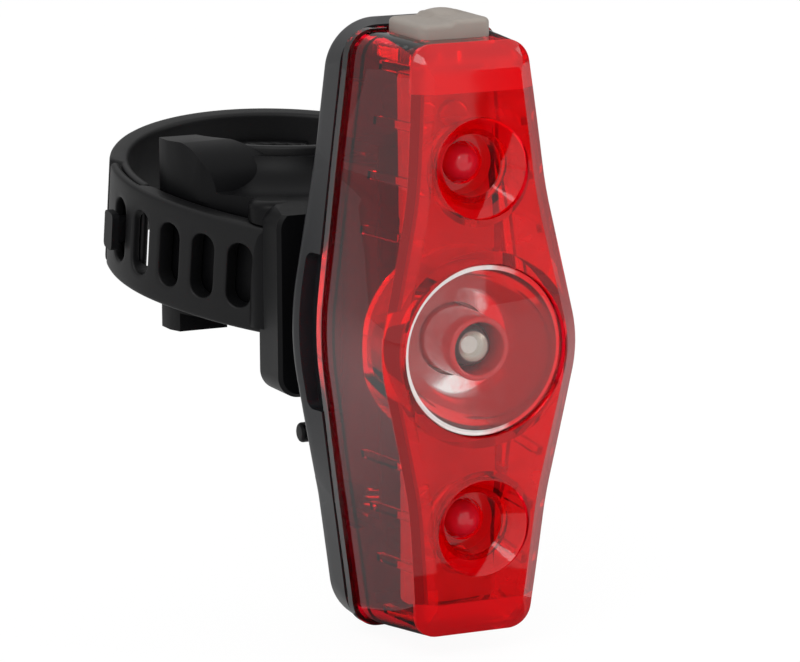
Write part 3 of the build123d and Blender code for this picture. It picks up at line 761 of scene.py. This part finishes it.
@dataclass(frozen=True)
class Metal:
    """Plated or bare metal."""

    name: str
    colour: Triple
    roughness: float
    wear: float = 0.06
    wear_mm: float = 2.0

    def material(self) -> bpy.types.Material:
        """Writes the material: wear varies the roughness.

        Returns:
            The material.
        """
        recipe = Recipe(self.name)
        recipe.set(Base_Color=(*self.colour, 1.0), Metallic=1.0,
                   Roughness=recipe.noise(self.wear_mm) * self.wear + self.roughness)
        return recipe.material


@dataclass(frozen=True)
class StainedLens:
    """Clear red plastic, hazy at its face, with painted light at its right side, chamfer and end facets."""

    name: str
    colour: Triple
    haze_and_painted_light: Triple
    crown_r_mm: float = 300.0
    face_depth_mm: float = 0.2
    face_share: float = 0.02
    cloud_mm: float = 3.5
    cloud_from: float = 0.42
    cloud_share: float = 0.8
    painted_light_from_mm: float = 1.3
    painted_light_share: float = 0.14
    edge_depth_mm: float = 2.25
    chamfer_painted_light_share: float = 0.27
    end_from_mm: float = 34.0
    end_depth_mm: float = 2.6
    end_painted_light_share: float = 0.55

    def material(self) -> bpy.types.Material:
        """Writes the material.

        With up the height from the light's middle, d = y - face - up^2 / (2 crown_r) is the depth under the
        crowned face. A milky red shader is mixed in. On the face its share is face_share plus patches of
        cloud, and painted_light_share more right of painted_light_from_mm, which is painted light on the
        face's right side. It is chamfer_painted_light_share between face_depth_mm and edge_depth_mm, painted
        light on the chamfer. Where up is past end_from_mm it is the larger of that and
        end_painted_light_share, down to end_depth_mm, painted light on the end facets. Deeper on the side
        walls it is none.

        Returns:
            The material.
        """
        recipe = Recipe(self.name)
        place = recipe.place()
        x, y, z = (recipe.node("SeparateXYZ", k, Vector=place) * (1.0 / MM) for k in "XYZ")
        up = z - LIGHT_Z
        depth = y - FACE_Y - up * up * (1.0 / (2.0 * self.crown_r_mm))
        cloud = recipe.noise(self.cloud_mm, 5.0)
        face = (cloud - self.cloud_from).math("MAXIMUM", 0.0) * self.cloud_share + self.face_share
        # Painted light: the face's right side takes more of the milky shader, to look brighter.
        face = face + (x > self.painted_light_from_mm) * self.painted_light_share
        # Painted light: the chamfer strip and the end facets take more of the milky shader, to look bright.
        edge = (depth > self.face_depth_mm) * (1.0 - (depth > self.edge_depth_mm))
        end = (up.math("ABSOLUTE") > self.end_from_mm) * (1.0 - (depth > self.end_depth_mm))
        strip = edge.math("MAXIMUM", end)
        rim = (edge * self.chamfer_painted_light_share).math("MAXIMUM", end * self.end_painted_light_share)
        share = rim + (1.0 - strip) * (1.0 - (depth > self.face_depth_mm)) * face
        recipe.set(Base_Color=(*self.colour, 1.0), Roughness=recipe.noise(4.0) * 0.02 + 0.01,
                   Transmission_Weight=1.0, IOR=1.45)
        # The milky shader carries the face's haze and the painted light.
        haze_and_painted_light_shader = recipe.node("BsdfPrincipled", Base_Color=(*self.haze_and_painted_light, 1.0), Roughness=0.08)
        recipe.mix_in(haze_and_painted_light_shader, share)
        return recipe.material


@dataclass(frozen=True)
class RedReflectionMirror:
    """Vapour-plated bowl with a painted reflection of the lens's red away from its lit side, in cloudy
    patches.
    """

    name: str
    bright: Triple
    painted_red_reflection: Triple
    edge_mm: float = 2.2
    width_mm: float = 5.0
    cloud_mm: float = 2.2
    cloud_share: float = 1.8
    plating: float = 0.9

    def material(self) -> bpy.types.Material:
        """Writes the material: the painted red reflection's share is (x - edge) / width + cloud_share (cloud
        - 0.5) + 0.5.

        Returns:
            The material.
        """
        recipe = Recipe(self.name)
        across = recipe.node("SeparateXYZ", "X", Vector=recipe.place())
        cloud = recipe.noise(self.cloud_mm, 4.0)
        # Painted reflection: the lens's red is painted in more towards the right, in cloudy patches.
        lean = (across - self.edge_mm * MM) * (1.0 / (self.width_mm * MM))
        share = lean + (cloud - 0.5) * self.cloud_share + 0.5
        share = share.math("MAXIMUM", 0.0).math("MINIMUM", 1.0)
        recipe.set(Base_Color=recipe.blend(share, self.bright, self.painted_red_reflection), Metallic=self.plating,
                   Roughness=cloud * 0.14 + 0.01)
        return recipe.material


class Finish(Enum):
    """The finishes of the light's pieces: the record's slot and the recipe."""

    # The red lens's second colour is its milky haze and painted light.
    RED_LENS = ("red_lens", StainedLens("red_lens", (1.0, 0.002, 0.02), (0.95, 0.0, 0.005)))
    CLEAR_LENS = ("clear_lens", ClearResin("clear_lens", (0.97, 0.97, 0.97), 0.01))
    # The bowl's second colour is a painted reflection of the red lens.
    CHROME = ("chrome_bowl", RedReflectionMirror("chrome_bowl", (1.0, 0.92, 0.9), (0.95, 0.004, 0.01)))
    RED_TUBE = ("red_tube", ClearResin("red_tube", (0.98, 0.01, 0.012), 0.05, clear=0.2))
    DIODE = ("diode_resin", ClearResin("diode_resin", (0.97, 0.9, 0.88), 0.02, 1.5, 0.88))
    RED_DIODE = ("diode_resin", ClearResin("red_diode_resin", (1.0, 0.015, 0.04), 0.05, 1.5, 0.3))
    BLACK = ("black_plastic", Moulded("black_plastic", (0.003, 0.003, 0.0035), 0.4, specular=0.12))
    HOUSING = ("black_gloss_plastic",
               Moulded("black_gloss_plastic", (0.01, 0.0105, 0.0125), 0.32, specular=0.3))
    WHITE = ("white_plastic", Moulded("white_plastic", (0.75, 0.75, 0.73), 0.4))
    STRAP = ("strap_rubber",
             Moulded("strap_rubber", (0.0045, 0.0045, 0.005), 0.48, 0.2, 0.012, specular=0.24))
    KEY = ("grey_rubber", Moulded("grey_rubber", (0.33, 0.29, 0.255), 0.5, 0.12, 0.008))
    MASK = ("circuit_board", Moulded("circuit_board", (0.8, 0.8, 0.78), 0.3))
    CAN = ("cell_can", Moulded("cell_can", (0.012, 0.012, 0.014), 0.4, specular=0.3))
    NICKEL = ("contact_metal", Metal("contact_metal", (0.78, 0.76, 0.7), 0.2))
    ZINC = ("screw_steel", Metal("screw_steel", (0.65, 0.65, 0.67), 0.28))


class Bench:
    """Dresses pieces, puts them on their bodies and reports them."""

    def __init__(self) -> None:
        """Starts with no materials, and looks up each node's body."""
        bodies = frame["record"]["behaviour"]["bodies"]
        self.made: dict[Finish, bpy.types.Material] = {}
        self.bodies = {node: body for body, nodes in bodies.items() for node in nodes}

    def material(self, finish: Finish) -> bpy.types.Material:
        """The finish's material, made once."""
        if finish not in self.made:
            self.made[finish] = finish.value[1].material()
        return self.made[finish]

    def dress(self, obj: bpy.types.Object, finish: Finish, *nodes: str) -> None:
        """Gives a new piece its finish, and puts it in place of CAD nodes.

        Args:
            obj: The piece.
            finish: Its finish.
            nodes: CAD nodes that it stands for, all on one body.
        """
        obj.data.materials.clear()
        obj.data.materials.append(self.material(finish))
        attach(obj, self.bodies[nodes[0]])
        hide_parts(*nodes)
        log.info("%s stands for %s, %d points", obj.name, ", ".join(nodes), len(obj.data.vertices))

    def carry(self, finish: Finish, *nodes: str) -> None:
        """Carries CAD nodes over, each with the same finish."""
        for node in nodes:
            self.dress(carried_over(node), finish, node)


# Studio


@dataclass(frozen=True)
class Lamp:
    """Rectangular soft lamp, placed and sized in metres, with a radiance of 1 where its surface is white."""

    name: str
    place: Triple
    size: tuple[float, float]
    radiance: float
    aim: Triple = (0.0, -0.03, 0.0)

    def build(self) -> None:
        """Adds the lamp, turned to its aim."""
        width, height = self.size
        data = bpy.data.lights.new(self.name, "AREA")
        data.shape = "RECTANGLE"
        data.size, data.size_y = width, height
        data.energy = self.radiance * math.pi * width * height
        obj = linked(self.name, data)
        obj.location = self.place
        obj.rotation_euler = (Vector(self.aim) - Vector(self.place)).to_track_quat("-Z", "Y").to_euler()


@dataclass(frozen=True)
class Studio:
    """Camera at the photo's viewing angle, soft light and a pale floor, in metres where no unit is named."""

    turn_deg: float = 24.6
    rise_deg: float = 11.27
    roll_deg: float = 0.4
    distance: float = 0.613
    focal_mm: float = 211.1
    sensor_mm: float = 36.0
    clip: tuple[float, float] = (0.01, 50.0)
    slide: tuple[float, float] = (0.01131, -0.00272)
    floor_gap: float = 0.0006
    floor_reach: float = 6.0
    floor_glow: float = 1.03
    floor_glow_share: float = 0.92
    floor_white: float = 0.86
    shade: float = 0.16
    shade_reach: float = 0.028
    fill: float = 0.75
    veil: float = 0.93
    veil_edge_mm: float = 1.3
    behind: float = 0.5
    behind_from: float = 0.15
    sky_from: float = 0.55
    lamps: tuple[Lamp, ...] = (Lamp("key", (-0.45, -0.55, 0.6), (0.4, 0.4), 4.0),
                               Lamp("side", (0.6, -0.3, 0.3), (0.3, 0.5), 2.0))

    def camera(self) -> None:
        """Places the camera back from the lens along the viewing angle, slid sideways and rolled."""
        turn, rise, roll = (math.radians(a) for a in (self.turn_deg, self.rise_deg, self.roll_deg))
        back = Vector((-math.sin(turn) * math.cos(rise), -math.cos(turn) * math.cos(rise), math.sin(rise)))
        right = Vector((math.cos(turn), -math.sin(turn), 0.0))
        up = Vector((math.sin(turn) * math.sin(rise), math.cos(turn) * math.sin(rise), math.cos(rise)))
        right, up = right * math.cos(roll) - up * math.sin(roll), up * math.cos(roll) + right * math.sin(roll)
        data = bpy.data.cameras.new("studio_camera")
        data.lens, data.sensor_width = self.focal_mm, self.sensor_mm
        data.clip_start, data.clip_end = self.clip
        camera = linked("studio_camera", data)
        place = Vector(LENS_CENTRE) + back * self.distance - right * self.slide[0] - up * self.slide[1]
        camera.matrix_world = Matrix.Translation(place) @ Matrix((right, up, back)).transposed().to_4x4()
        bpy.context.scene.camera = camera

    def floor(self) -> None:
        """Lays a wide pale floor just below the part.

        The camera sees mostly its glow, which is white apart from a soft shadow. Reflections see it darker
        close under the light.
        """
        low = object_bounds()[0].z - self.floor_gap
        u = np.linspace(-self.floor_reach, self.floor_reach, 3)
        points = np.stack([*np.meshgrid(u, u, indexing="ij"), np.full((3, 3), low)], axis=-1)
        obj = mesh_object("pale_floor", points, grid_faces(3, 3))
        recipe = Recipe("pale_floor")
        through = recipe.node("LightPath", "Is Transmission Ray")
        under = recipe.node("VectorMath", "Value", {"operation": "DISTANCE"}, Vector=recipe.place())
        recipe.put(under.socket.node.inputs[1], (0.0, FACE_Y * MM, low))
        near = 1.0 - (under > self.shade_reach)
        mirrored = recipe.node("LightPath", "Is Glossy Ray") * (1.0 - through) * near
        colour = recipe.blend(mirrored, (self.floor_white,) * 3, (self.shade,) * 3)
        recipe.set(Base_Color=colour, Roughness=0.9)
        glow = recipe.node("Emission", Color=(1.0, 1.0, 1.0, 1.0), Strength=self.floor_glow)
        recipe.mix_in(glow, recipe.node("LightPath", "Is Camera Ray") * self.floor_glow_share)
        obj.data.materials.append(recipe.material)
        obj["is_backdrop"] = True

    def mirrored_x(self, x_mm: float) -> float:
        """Sideways part of the direction from the camera to the face at x_mm from its middle."""
        seen_from = np.array(bpy.context.scene.camera.matrix_world.translation)
        ray = np.array([x_mm * MM, FACE_Y * MM, LENS_CENTRE[2]]) - seen_from
        return float(ray[0] / np.linalg.norm(ray))

    def world(self) -> None:
        """White surroundings, darker in reflections beyond a sharp edge on the right and behind the light.

        With (x, y, z) the direction looked in, reflections see 1 - max(veil where x > edge, behind where
        y > behind_from), and white where z > sky_from. Straight to the camera and through clear pieces all of
        it is white, and its light on rough pieces is fill.
        """
        world = bpy.data.worlds.new("studio_tent")
        bpy.context.scene.world = world
        world.use_nodes = True
        tree = world.node_tree
        tree.nodes.clear()
        path = tree.nodes.new("ShaderNodeLightPath")
        seen, sheen, through = (Field(tree, path.outputs[f"Is {ray} Ray"])
                                for ray in ("Camera", "Glossy", "Transmission"))
        look = tree.nodes.new("ShaderNodeTexCoord")
        split = tree.nodes.new("ShaderNodeSeparateXYZ")
        tree.links.new(look.outputs["Generated"], split.inputs[0])
        x, y, z = (Field(tree, split.outputs[k]) for k in range(3))
        dark = (x > self.mirrored_x(self.veil_edge_mm)) * self.veil
        behind = (y > self.behind_from) * self.behind
        tent = 1.0 - dark.math("MAXIMUM", behind) * (1.0 - (z > self.sky_from))
        plain = seen.math("MAXIMUM", through)
        strength = plain + (1.0 - plain) * (sheen * tent + (1.0 - sheen) * self.fill)
        back = tree.nodes.new("ShaderNodeBackground")
        back.inputs["Color"].default_value = (1.0, 1.0, 1.0, 1.0)
        tree.links.new(strength.socket, back.inputs["Strength"])
        out = tree.nodes.new("ShaderNodeOutputWorld")
        tree.links.new(back.outputs[0], out.inputs["Surface"])

    def build(self) -> None:
        """Builds the whole studio."""
        bpy.context.scene.view_settings.view_transform = "Standard"
        self.camera()
        self.world()
        for lamp in self.lamps:
            lamp.build()
        self.floor()


# Sub-assemblies, with sizes in millimetres


@dataclass
class Strap:
    """Rubber strap in two ends that lap under a stud: each ends in a bead inside the shoe."""

    bench: Bench
    thickness: float = 2.8
    half_height: float = 7.65
    edge: float = 0.6
    tucked: float = 0.4
    lap: tuple[float, float] = (23.5, 35.1)
    lap_gap: float = 0.1
    lap_spare_deg: float = 1.0
    slots: SlotRow = SlotRow(5)
    bead_r: float = 2.3
    bead_soft: float = 0.5
    pad_deg: tuple[float, float] = (118.0, 62.0)
    pad_rows: tuple[float, float] = (-6.2, 3.4)
    pad_thickness: float = 0.65
    rib_pitch: float = 2.2
    rib_height: float = 0.35

    def bead(self, path: StrapPath) -> Skin:
        """Round bead at an end, square to the strap's edge: centre + r (cos t, sin t), with rounded rims.

        Args:
            path: The end's path.

        Returns:
            The skin.
        """
        u, v = path.bead_spot(self.thickness)
        half, soft = self.half_height, self.bead_soft
        profile = [(0.0, -half), *arc((self.bead_r - soft, soft - half), soft, -90.0, 0.0, 6)]
        ring = np.array(profile + [(r, -h) for r, h in profile[::-1]])
        t = np.linspace(0, TAU, 40, endpoint=False)[None, :]
        r, h = ring[:, :1], ring[:, 1:]
        return grid_skin(path.lifted(u + r * np.cos(t), v + r * np.sin(t), h + 0 * t), closed_columns=True)

    def thinned(self, s: np.ndarray, start: float, ramp: tuple[float, float]) -> np.ndarray:
        """How much the strap is thinned at s by a lap from start on, with a ramp before and past it."""
        return (self.thickness / 2 + self.lap_gap) * eased(s, start + ramp[0], start + ramp[1])

    def tail(self) -> Skin:
        """Slotted end, on the left, thinned inside where it lies over the plain end.

        Returns:
            The skin.
        """
        path = StrapPath(-1)
        start, end = self.lap

        def inner(s: np.ndarray, h: np.ndarray) -> np.ndarray:
            """Depth of the inner face."""
            return -self.thickness + self.thinned(s, start, (-0.5, 0.5))

        band = Band(path, -self.tucked, end, -self.half_height, self.half_height, lambda s, h: 0.0 * s, inner,
                    self.edge, slots=self.slots)
        return band.skin() + self.bead(path)

    def main_end(self) -> Skin:
        """Plain end, from the right round the back, thinned outside where the slotted end lies over it.

        Returns:
            The skin, with the grip pad.
        """
        path, left = StrapPath(1), StrapPath(-1)
        start, end = (path.distance_at(180.0 - left.angle_at(s) + self.lap_spare_deg) for s in self.lap[::-1])

        def outer(s: np.ndarray, h: np.ndarray) -> np.ndarray:
            """Depth of the outer face."""
            return -self.thinned(s, start, (-0.5, 0.3))

        band = Band(path, -self.tucked, end, -self.half_height, self.half_height, outer,
                    lambda s, h: -self.thickness + 0.0 * s, self.edge, step=1.2)
        return band.skin() + self.pad(path) + self.bead(path)

    def pad(self, path: StrapPath) -> Skin:
        """Grip pad inside the back of the ring, ribbed upright.

        Args:
            path: The plain end's path.

        Returns:
            The skin.
        """
        start, end = (path.distance_at(angle) for angle in self.pad_deg)

        def ribs(s: np.ndarray, h: np.ndarray) -> np.ndarray:
            """Depth of the inside: the pad's thickness plus the root of a cosine wave between 0 and 1."""
            crest = 0.5 + 0.5 * np.cos(TAU * (s - start) / self.rib_pitch)
            return -self.thickness - self.pad_thickness - self.rib_height * crest ** 0.5

        band = Band(path, start, end, *self.pad_rows, lambda s, h: -self.thickness + 0.1 + 0.0 * s, ribs,
                    0.35, step=0.22, rows=9)
        return band.skin()

    def build(self) -> None:
        """Builds the strap."""
        self.bench.dress(self.tail().made("slotted_strap_end", 50.0), Finish.STRAP, "strap_tail")
        self.bench.dress(self.main_end().made("plain_strap_end", 50.0), Finish.STRAP, "strap_main")
        self.bench.carry(Finish.BLACK, "strap_stud")


@dataclass
class Bracket:
    """Hard bracket with its rubber lining and its spring lever."""

    bench: Bench
    lining_r: float = 17.35
    lining_t: float = 1.45
    half_turn_deg: float = 70.0
    half_height: float = 12.0
    edge: float = 0.4
    groove_pitch: float = 3.0
    groove_depth: float = 0.3
    groove_half_share: float = 0.16
    plug_r: float = 2.1
    plug_z: float = 4.0
    plug_reach: tuple[float, float] = (0.4, 1.9)

    def lining(self) -> Skin:
        """Rubber lining of the saddle, with level grooves inside, and the plug that holds it.

        Returns:
            The skin.
        """
        def grooves(s: np.ndarray, h: np.ndarray) -> np.ndarray:
            """Depth of the inside: the lining's thickness less a smooth groove at half of every pitch."""
            wave = eased(np.abs((h / self.groove_pitch) % 1.0 - 0.5), 0.0, self.groove_half_share)
            return -self.lining_t + self.groove_depth * (1.0 - wave)

        path = PostPath(self.lining_r, -90.0 - self.half_turn_deg)
        length = 2 * math.radians(self.half_turn_deg) * self.lining_r
        band = Band(path, 0.0, length, -self.half_height, self.half_height, lambda s, h: 0.0 * s, grooves,
                    self.edge, rows=113)
        r, rear, front = self.plug_r, self.plug_reach[0] - self.lining_r, -self.lining_r - self.plug_reach[1]
        plug = [(0.0, rear), (r, rear), (r, front + 0.3), (r - 0.1, front + 0.08), (r - 0.3, front),
                (0.0, front)]
        return band.skin() + swept_round(plug, (0.0, 0.0, self.plug_z), segments=40)

    def build(self) -> None:
        """Builds the bracket."""
        self.bench.carry(Finish.BLACK, "bracket_body", "release_lever")
        self.bench.dress(self.lining().made("saddle_lining", 50.0), Finish.STRAP, "saddle_pad")


@dataclass
class Key:
    """Rubber button: a soft block with a raised step and a round dome, on a leg that reaches the switch."""

    bench: Bench
    half_width: float = 5.1
    half_depth: float = 5.8
    corner_r: float = 1.5
    centre_y: float = -48.8
    bottom: float = 30.1
    top: float = 33.2
    soft: float = 0.7
    step_up: float = 0.5
    step_ramp: tuple[float, float] = (-0.9, -0.1)
    dome: tuple[float, float] = (1.5, 2.5)
    dome_r: float = 2.7
    dome_up: float = 0.882
    dome_sunk_share: float = 0.35
    dip: tuple[float, float] = (1.2, -2.2)
    dip_depth: float = 0.3
    dip_spread: float = 3.2
    leg_r: float = 1.5
    leg_soft: float = 0.2
    leg_y: float = -49.1
    leg_low: float = 27.8

    def height(self, x: np.ndarray, y: np.ndarray) -> np.ndarray:
        """Height of the top.

        It is the block's top, plus a step on the right, plus a dome dome_up (1 - r^2 / dome_r^2), which is
        lower by its sunk share on the step, less a dip dip_depth exp(-r^2 / dip_spread).

        Args:
            x: Distances to the right of the block's middle.
            y: Distances behind it.

        Returns:
            Array of heights.
        """
        step = eased(x, *self.step_ramp)
        away = np.hypot(x - self.dome[0], y - self.dome[1]) / self.dome_r
        dome = self.dome_up * np.clip(1.0 - away ** 2, 0.0, 1.0) * (1 - self.dome_sunk_share * step)
        dip = self.dip_depth * np.exp(-((x - self.dip[0]) ** 2 + (y - self.dip[1]) ** 2) / self.dip_spread)
        return self.top + self.step_up * step + dome - dip

    def block(self) -> Skin:
        """Soft block: rings from the middle of the top out over the rounded edge, down and in again below.

        Returns:
            The skin.
        """
        corners = [(sx * self.half_width, sy * self.half_depth, self.corner_r)
                   for sx, sy in ((1, 1), (-1, 1), (-1, -1), (1, -1))]
        ring, out = RoundedOutline(corners).evenly(112)
        flat = ring - self.soft * out
        top = np.linspace(0.0, 1.0, 22)[:, None, None] * flat
        turn = np.radians(np.linspace(0, 90, 6))[1:, None]
        edge = flat[None] + self.soft * np.sin(turn)[:, :, None] * out[None]
        x, y = np.moveaxis(np.concatenate([top, edge, ring[None], 0.0 * ring[None]]), -1, 0)
        z = self.height(x, y)
        z[len(top):len(top) + len(turn)] = self.height(*flat.T) - self.soft * (1 - np.cos(turn))
        z[-2:] = self.bottom
        return grid_skin(np.stack([x, y + self.centre_y, z], axis=-1), closed_columns=True)

    def build(self) -> None:
        """Builds the button and its leg."""
        r, low, high = self.leg_r, self.leg_low, self.bottom + 0.2
        leg = [(0.0, low), (r - self.leg_soft, low), (r, low + self.leg_soft), (r, high), (0.0, high)]
        skin = self.block() + swept_round(leg, (0.0, self.leg_y, 0.0), "Z", 40)
        self.bench.dress(skin.made("rubber_key"), Finish.KEY, "button_pad")


@dataclass
class LightBody:
    """Lens shell, back shell and the seal in their seam, with half widths and heights of the lens's base."""

    bench: Bench
    apex_x: float = 15.2
    knee: tuple[float, float] = (12.5, 22.7)
    end_x: float = 10.2
    top: float = 40.4
    foot: float = 40.2
    apex_r: float = 45.0
    knee_r: float = 60.0
    end_r: float = 3.4
    gasket_inset: float = 1.0
    gasket_w: float = 0.5
    gasket_t: float = 1.0
    gasket_power: float = 0.6

    def seal(self) -> Skin:
        """Gasket: a strip carried along the base outline of the lens, drawn in.

        Its section is (w / 2 c^p, t / 2 s^p) for c = cos t and s = sin t with their signs kept: an oblong
        with rounded corners.

        Returns:
            The skin.
        """
        inset = self.gasket_inset + self.gasket_w / 2
        apex_x, knee_x, end_x = self.apex_x - inset, self.knee[0] - inset, self.end_x - inset
        knee_z, end_r = self.knee[1], self.end_r - inset
        side = [(end_x, inset - self.foot, end_r), (knee_x, -knee_z, self.knee_r), (apex_x, 0.0, self.apex_r),
                (knee_x, knee_z, self.knee_r), (end_x, self.top - inset, end_r)]
        corners = side + [(-x, z, r) for x, z, r in side[::-1]]
        ring, out = RoundedOutline(corners[2:] + corners[:2]).evenly(360)
        turn = np.linspace(0, TAU, 16, endpoint=False)[:, None]
        across, depth = (np.sign(wave) * np.abs(wave) ** self.gasket_power * size / 2
                         for wave, size in ((np.cos(turn), self.gasket_w), (np.sin(turn), self.gasket_t)))
        x, z = ring[:, 0] + across * out[:, 0], ring[:, 1] + across * out[:, 1]
        y = PART_Y + self.gasket_t / 2 + depth + 0 * x
        return grid_skin(np.stack([x, y, z + LIGHT_Z], axis=-1), True, True)

    def build(self) -> None:
        """Builds the shells and the seal."""
        self.bench.carry(Finish.RED_LENS, "front_lens")
        self.bench.carry(Finish.HOUSING, "rear_housing")
        self.bench.dress(self.seal().made("seam_seal"), Finish.KEY, "gasket")


@dataclass(frozen=True)
class Diode:
    """Domed diode: its height from the light's middle, its radii, and its tip's depth behind the face."""

    up: float
    radius: float
    flange_r: float
    tip: float
    flange_t: float = 1.0
    soft: float = 0.08

    def skin(self, board_y: float) -> Skin:
        """Domed tip, round body and flange, turned about the axis.

        Args:
            board_y: Face of the circuit board that it stands on.

        Returns:
            The skin.
        """
        tip, flange_y = FACE_Y + self.tip, board_y - self.flange_t
        profile = arc((0.0, tip + self.radius), self.radius, -90.0, 0.0, 19)
        profile += [(self.radius, flange_y - self.soft), (self.radius + self.soft, flange_y),
                    (self.flange_r - self.soft, flange_y), (self.flange_r, flange_y + self.soft),
                    (self.flange_r, board_y), (0.0, board_y)]
        return swept_round(profile, (0.0, 0.0, LIGHT_Z + self.up), segments=64)


@dataclass
class Optics:
    """Window, chromed bowl and collar in the middle, and the three diodes. Depths are behind the face."""

    bench: Bench
    board_y: float = -52.0
    centre: Diode = Diode(0.0, 2.85, 3.2, 3.4)
    upper: Diode = Diode(24.0, 2.5, 2.95, 5.4)
    lower: Diode = Diode(-24.0, 2.5, 2.95, 5.4)
    cup_r: float = 1.9
    cup_under_tip: float = 1.3
    bowl_rim: float = 11.15
    bowl_land: float = 0.5
    bowl_from: float = 1.4
    bowl_depth: float = 8.0
    bowl_hole: float = 4.55
    bowl_power: float = 1.9
    window_r: float = 11.5
    window_back: float = 1.3
    window_t: float = 1.6
    window_sphere: float = 60.0
    collar_from: float = 2.4
    collar_outer: float = 4.2
    collar_inner: float = 3.4

    def cup(self) -> Skin:
        """Small mirror cup round the chip, inside the centre diode's dome."""
        r, top = self.cup_r, FACE_Y + self.centre.tip + self.cup_under_tip
        profile = [(r - 0.15, top), (r, top), (r, top + 1.5), (0.0, top + 1.5), (0.0, top + 1.1),
                   (0.8, top + 1.1)]
        return swept_round(profile, (0.0, 0.0, LIGHT_Z), segments=48)

    def bowl(self) -> Skin:
        """Chromed bowl: a curved inside from its rim to the collar, and the wall behind it.

        At the share f of its depth the inside's radius is the hole's plus the rest of the rim's times
        sqrt(1 - f^power), and the wall grows thinner across and thicker along as f goes up.

        Returns:
            The skin.
        """
        rim, top, depth, hole = self.bowl_rim, FACE_Y + self.bowl_from, self.bowl_depth, self.bowl_hole
        mouth, flange, wall = rim - self.bowl_land, 0.25, 0.05
        share = np.linspace(0.0, 1.0, 24)
        curve = np.sqrt(np.maximum(0.0, 1 - share ** self.bowl_power))
        r, y = mouth - (mouth - hole) * (1 - curve), top + depth * share
        inside = list(zip(r, y))
        back_r, back_y = r + 0.55 * (1 - share) + wall, y + 0.75 * share + flange
        outside = list(zip(np.maximum(back_r, hole)[::-1], back_y[::-1]))
        profile = [*inside, (hole, top + depth + 0.8), *outside, (rim, top + flange), (rim, top)]
        return swept_round(profile, (0.0, 0.0, LIGHT_Z), segments=144)

    def window(self) -> Skin:
        """Clear disc over the bowl, domed outside, with broken edges."""
        back, radius, sphere, soft = FACE_Y + self.window_back, self.window_r, self.window_sphere, 0.12
        r = np.linspace(0.0, radius - soft, 24)
        dome = back - self.window_t + sphere - np.sqrt(sphere ** 2 - r ** 2)
        edge = [(radius, dome[-1] + soft), (radius, back - 0.1), (radius - 0.1, back), (0.0, back)]
        return swept_round([*zip(r, dome), *edge], (0.0, 0.0, LIGHT_Z), segments=144)

    def collar(self) -> Skin:
        """Red tube round the centre diode, with a rounded lip."""
        outer, inner = self.collar_outer, self.collar_inner
        lip_r = (outer - inner) / 2
        lip = arc((inner + lip_r, FACE_Y + self.collar_from + lip_r), lip_r, 0.0, -180.0, 13)
        return swept_round([(outer, self.board_y), *lip, (inner, self.board_y)], (0.0, 0.0, LIGHT_Z))

    def build(self) -> None:
        """Builds the optics."""
        self.bench.dress(self.window().made("centre_window"), Finish.CLEAR_LENS, "centre_lens")
        self.bench.dress(self.bowl().made("chromed_bowl", 50.0), Finish.CHROME, "centre_reflector")
        self.bench.dress(self.collar().made("diode_collar", 50.0), Finish.RED_TUBE, "led_collar")
        self.bench.dress(self.centre.skin(self.board_y).made("centre_diode"), Finish.DIODE, "centre_led")
        self.bench.dress(self.cup().made("diode_cup"), Finish.NICKEL, "centre_led")
        self.bench.dress(self.upper.skin(self.board_y).made("upper_diode"), Finish.RED_DIODE, "upper_led")
        self.bench.dress(self.lower.skin(self.board_y).made("lower_diode"), Finish.RED_DIODE, "lower_led")


@dataclass
class Electronics:
    """Board, switch, cells, contacts and carrier."""

    bench: Bench
    cell_r: float = 5.25
    cell_length: float = 44.5
    cell_x: float = 5.35
    nub_r: float = 1.9
    nub_up: float = 1.0
    crimp: tuple[tuple[float, float], ...] = ((0.0, 0.45), (0.12, 0.12), (0.45, 0.0), (0.9, 0.0))
    face_in: float = 1.1
    foot_sunk: float = 0.12
    head_sunk: float = 0.15

    def cell(self, side: int, centre_y: float, low: float) -> Skin:
        """Cell with crimped rims and a plus nub; the right one stands the other way up.

        Args:
            side: -1 for the left, 1 for the right.
            centre_y: Y of its axis.
            low: Height of its lower end.

        Returns:
            The skin.
        """
        r, nub, can = self.cell_r, self.nub_r, self.cell_length - self.nub_up
        foot, head, face_r = self.foot_sunk, can - self.head_sunk, self.cell_r - self.face_in
        profile = [(0.0, foot), (face_r, foot), *[(r - v, a) for v, a in self.crimp[::-1]]]
        profile += [*[(r - v, can - a) for v, a in self.crimp], (face_r, head)]
        profile += [(nub + 0.4, head), (nub + 0.25, can - 0.05), (nub, can), (nub, can + self.nub_up - 0.2),
                    (nub - 0.2, can + self.nub_up), (0.0, can + self.nub_up)]
        if side > 0:
            profile = [(v, self.cell_length - a) for v, a in profile[::-1]]
        return swept_round([(v, a + low) for v, a in profile], (side * self.cell_x, centre_y, 0.0), "Z", 72)

    def build(self) -> None:
        """Builds the electronics."""
        for node in ("battery_left", "battery_right"):
            low, high = (np.array(v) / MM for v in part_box(node))
            side = 1 if low[0] + high[0] > 0 else -1
            skin = self.cell(side, (low[1] + high[1]) / 2, low[2])
            self.bench.dress(skin.made(node + "_cell"), Finish.CAN, node)
        self.bench.carry(Finish.MASK, "circuit_board")
        self.bench.carry(Finish.HOUSING, "board_parts", "tact_switch")
        self.bench.carry(Finish.WHITE, "switch_stem")
        self.bench.carry(Finish.BLACK, "battery_tray")
        self.bench.carry(Finish.NICKEL, "bridge_contact", "positive_contact", "negative_contact",
                         "contact_springs")
        self.bench.carry(Finish.ZINC, "board_screws")


def main() -> None:
    logging.basicConfig(level=logging.INFO, format="%(message)s")
    bench = Bench()
    for assembly in (LightBody, Optics, Electronics, Key, Bracket, Strap):
        assembly(bench).build()
    Studio().build()


if __name__ == "__main__":
    main()
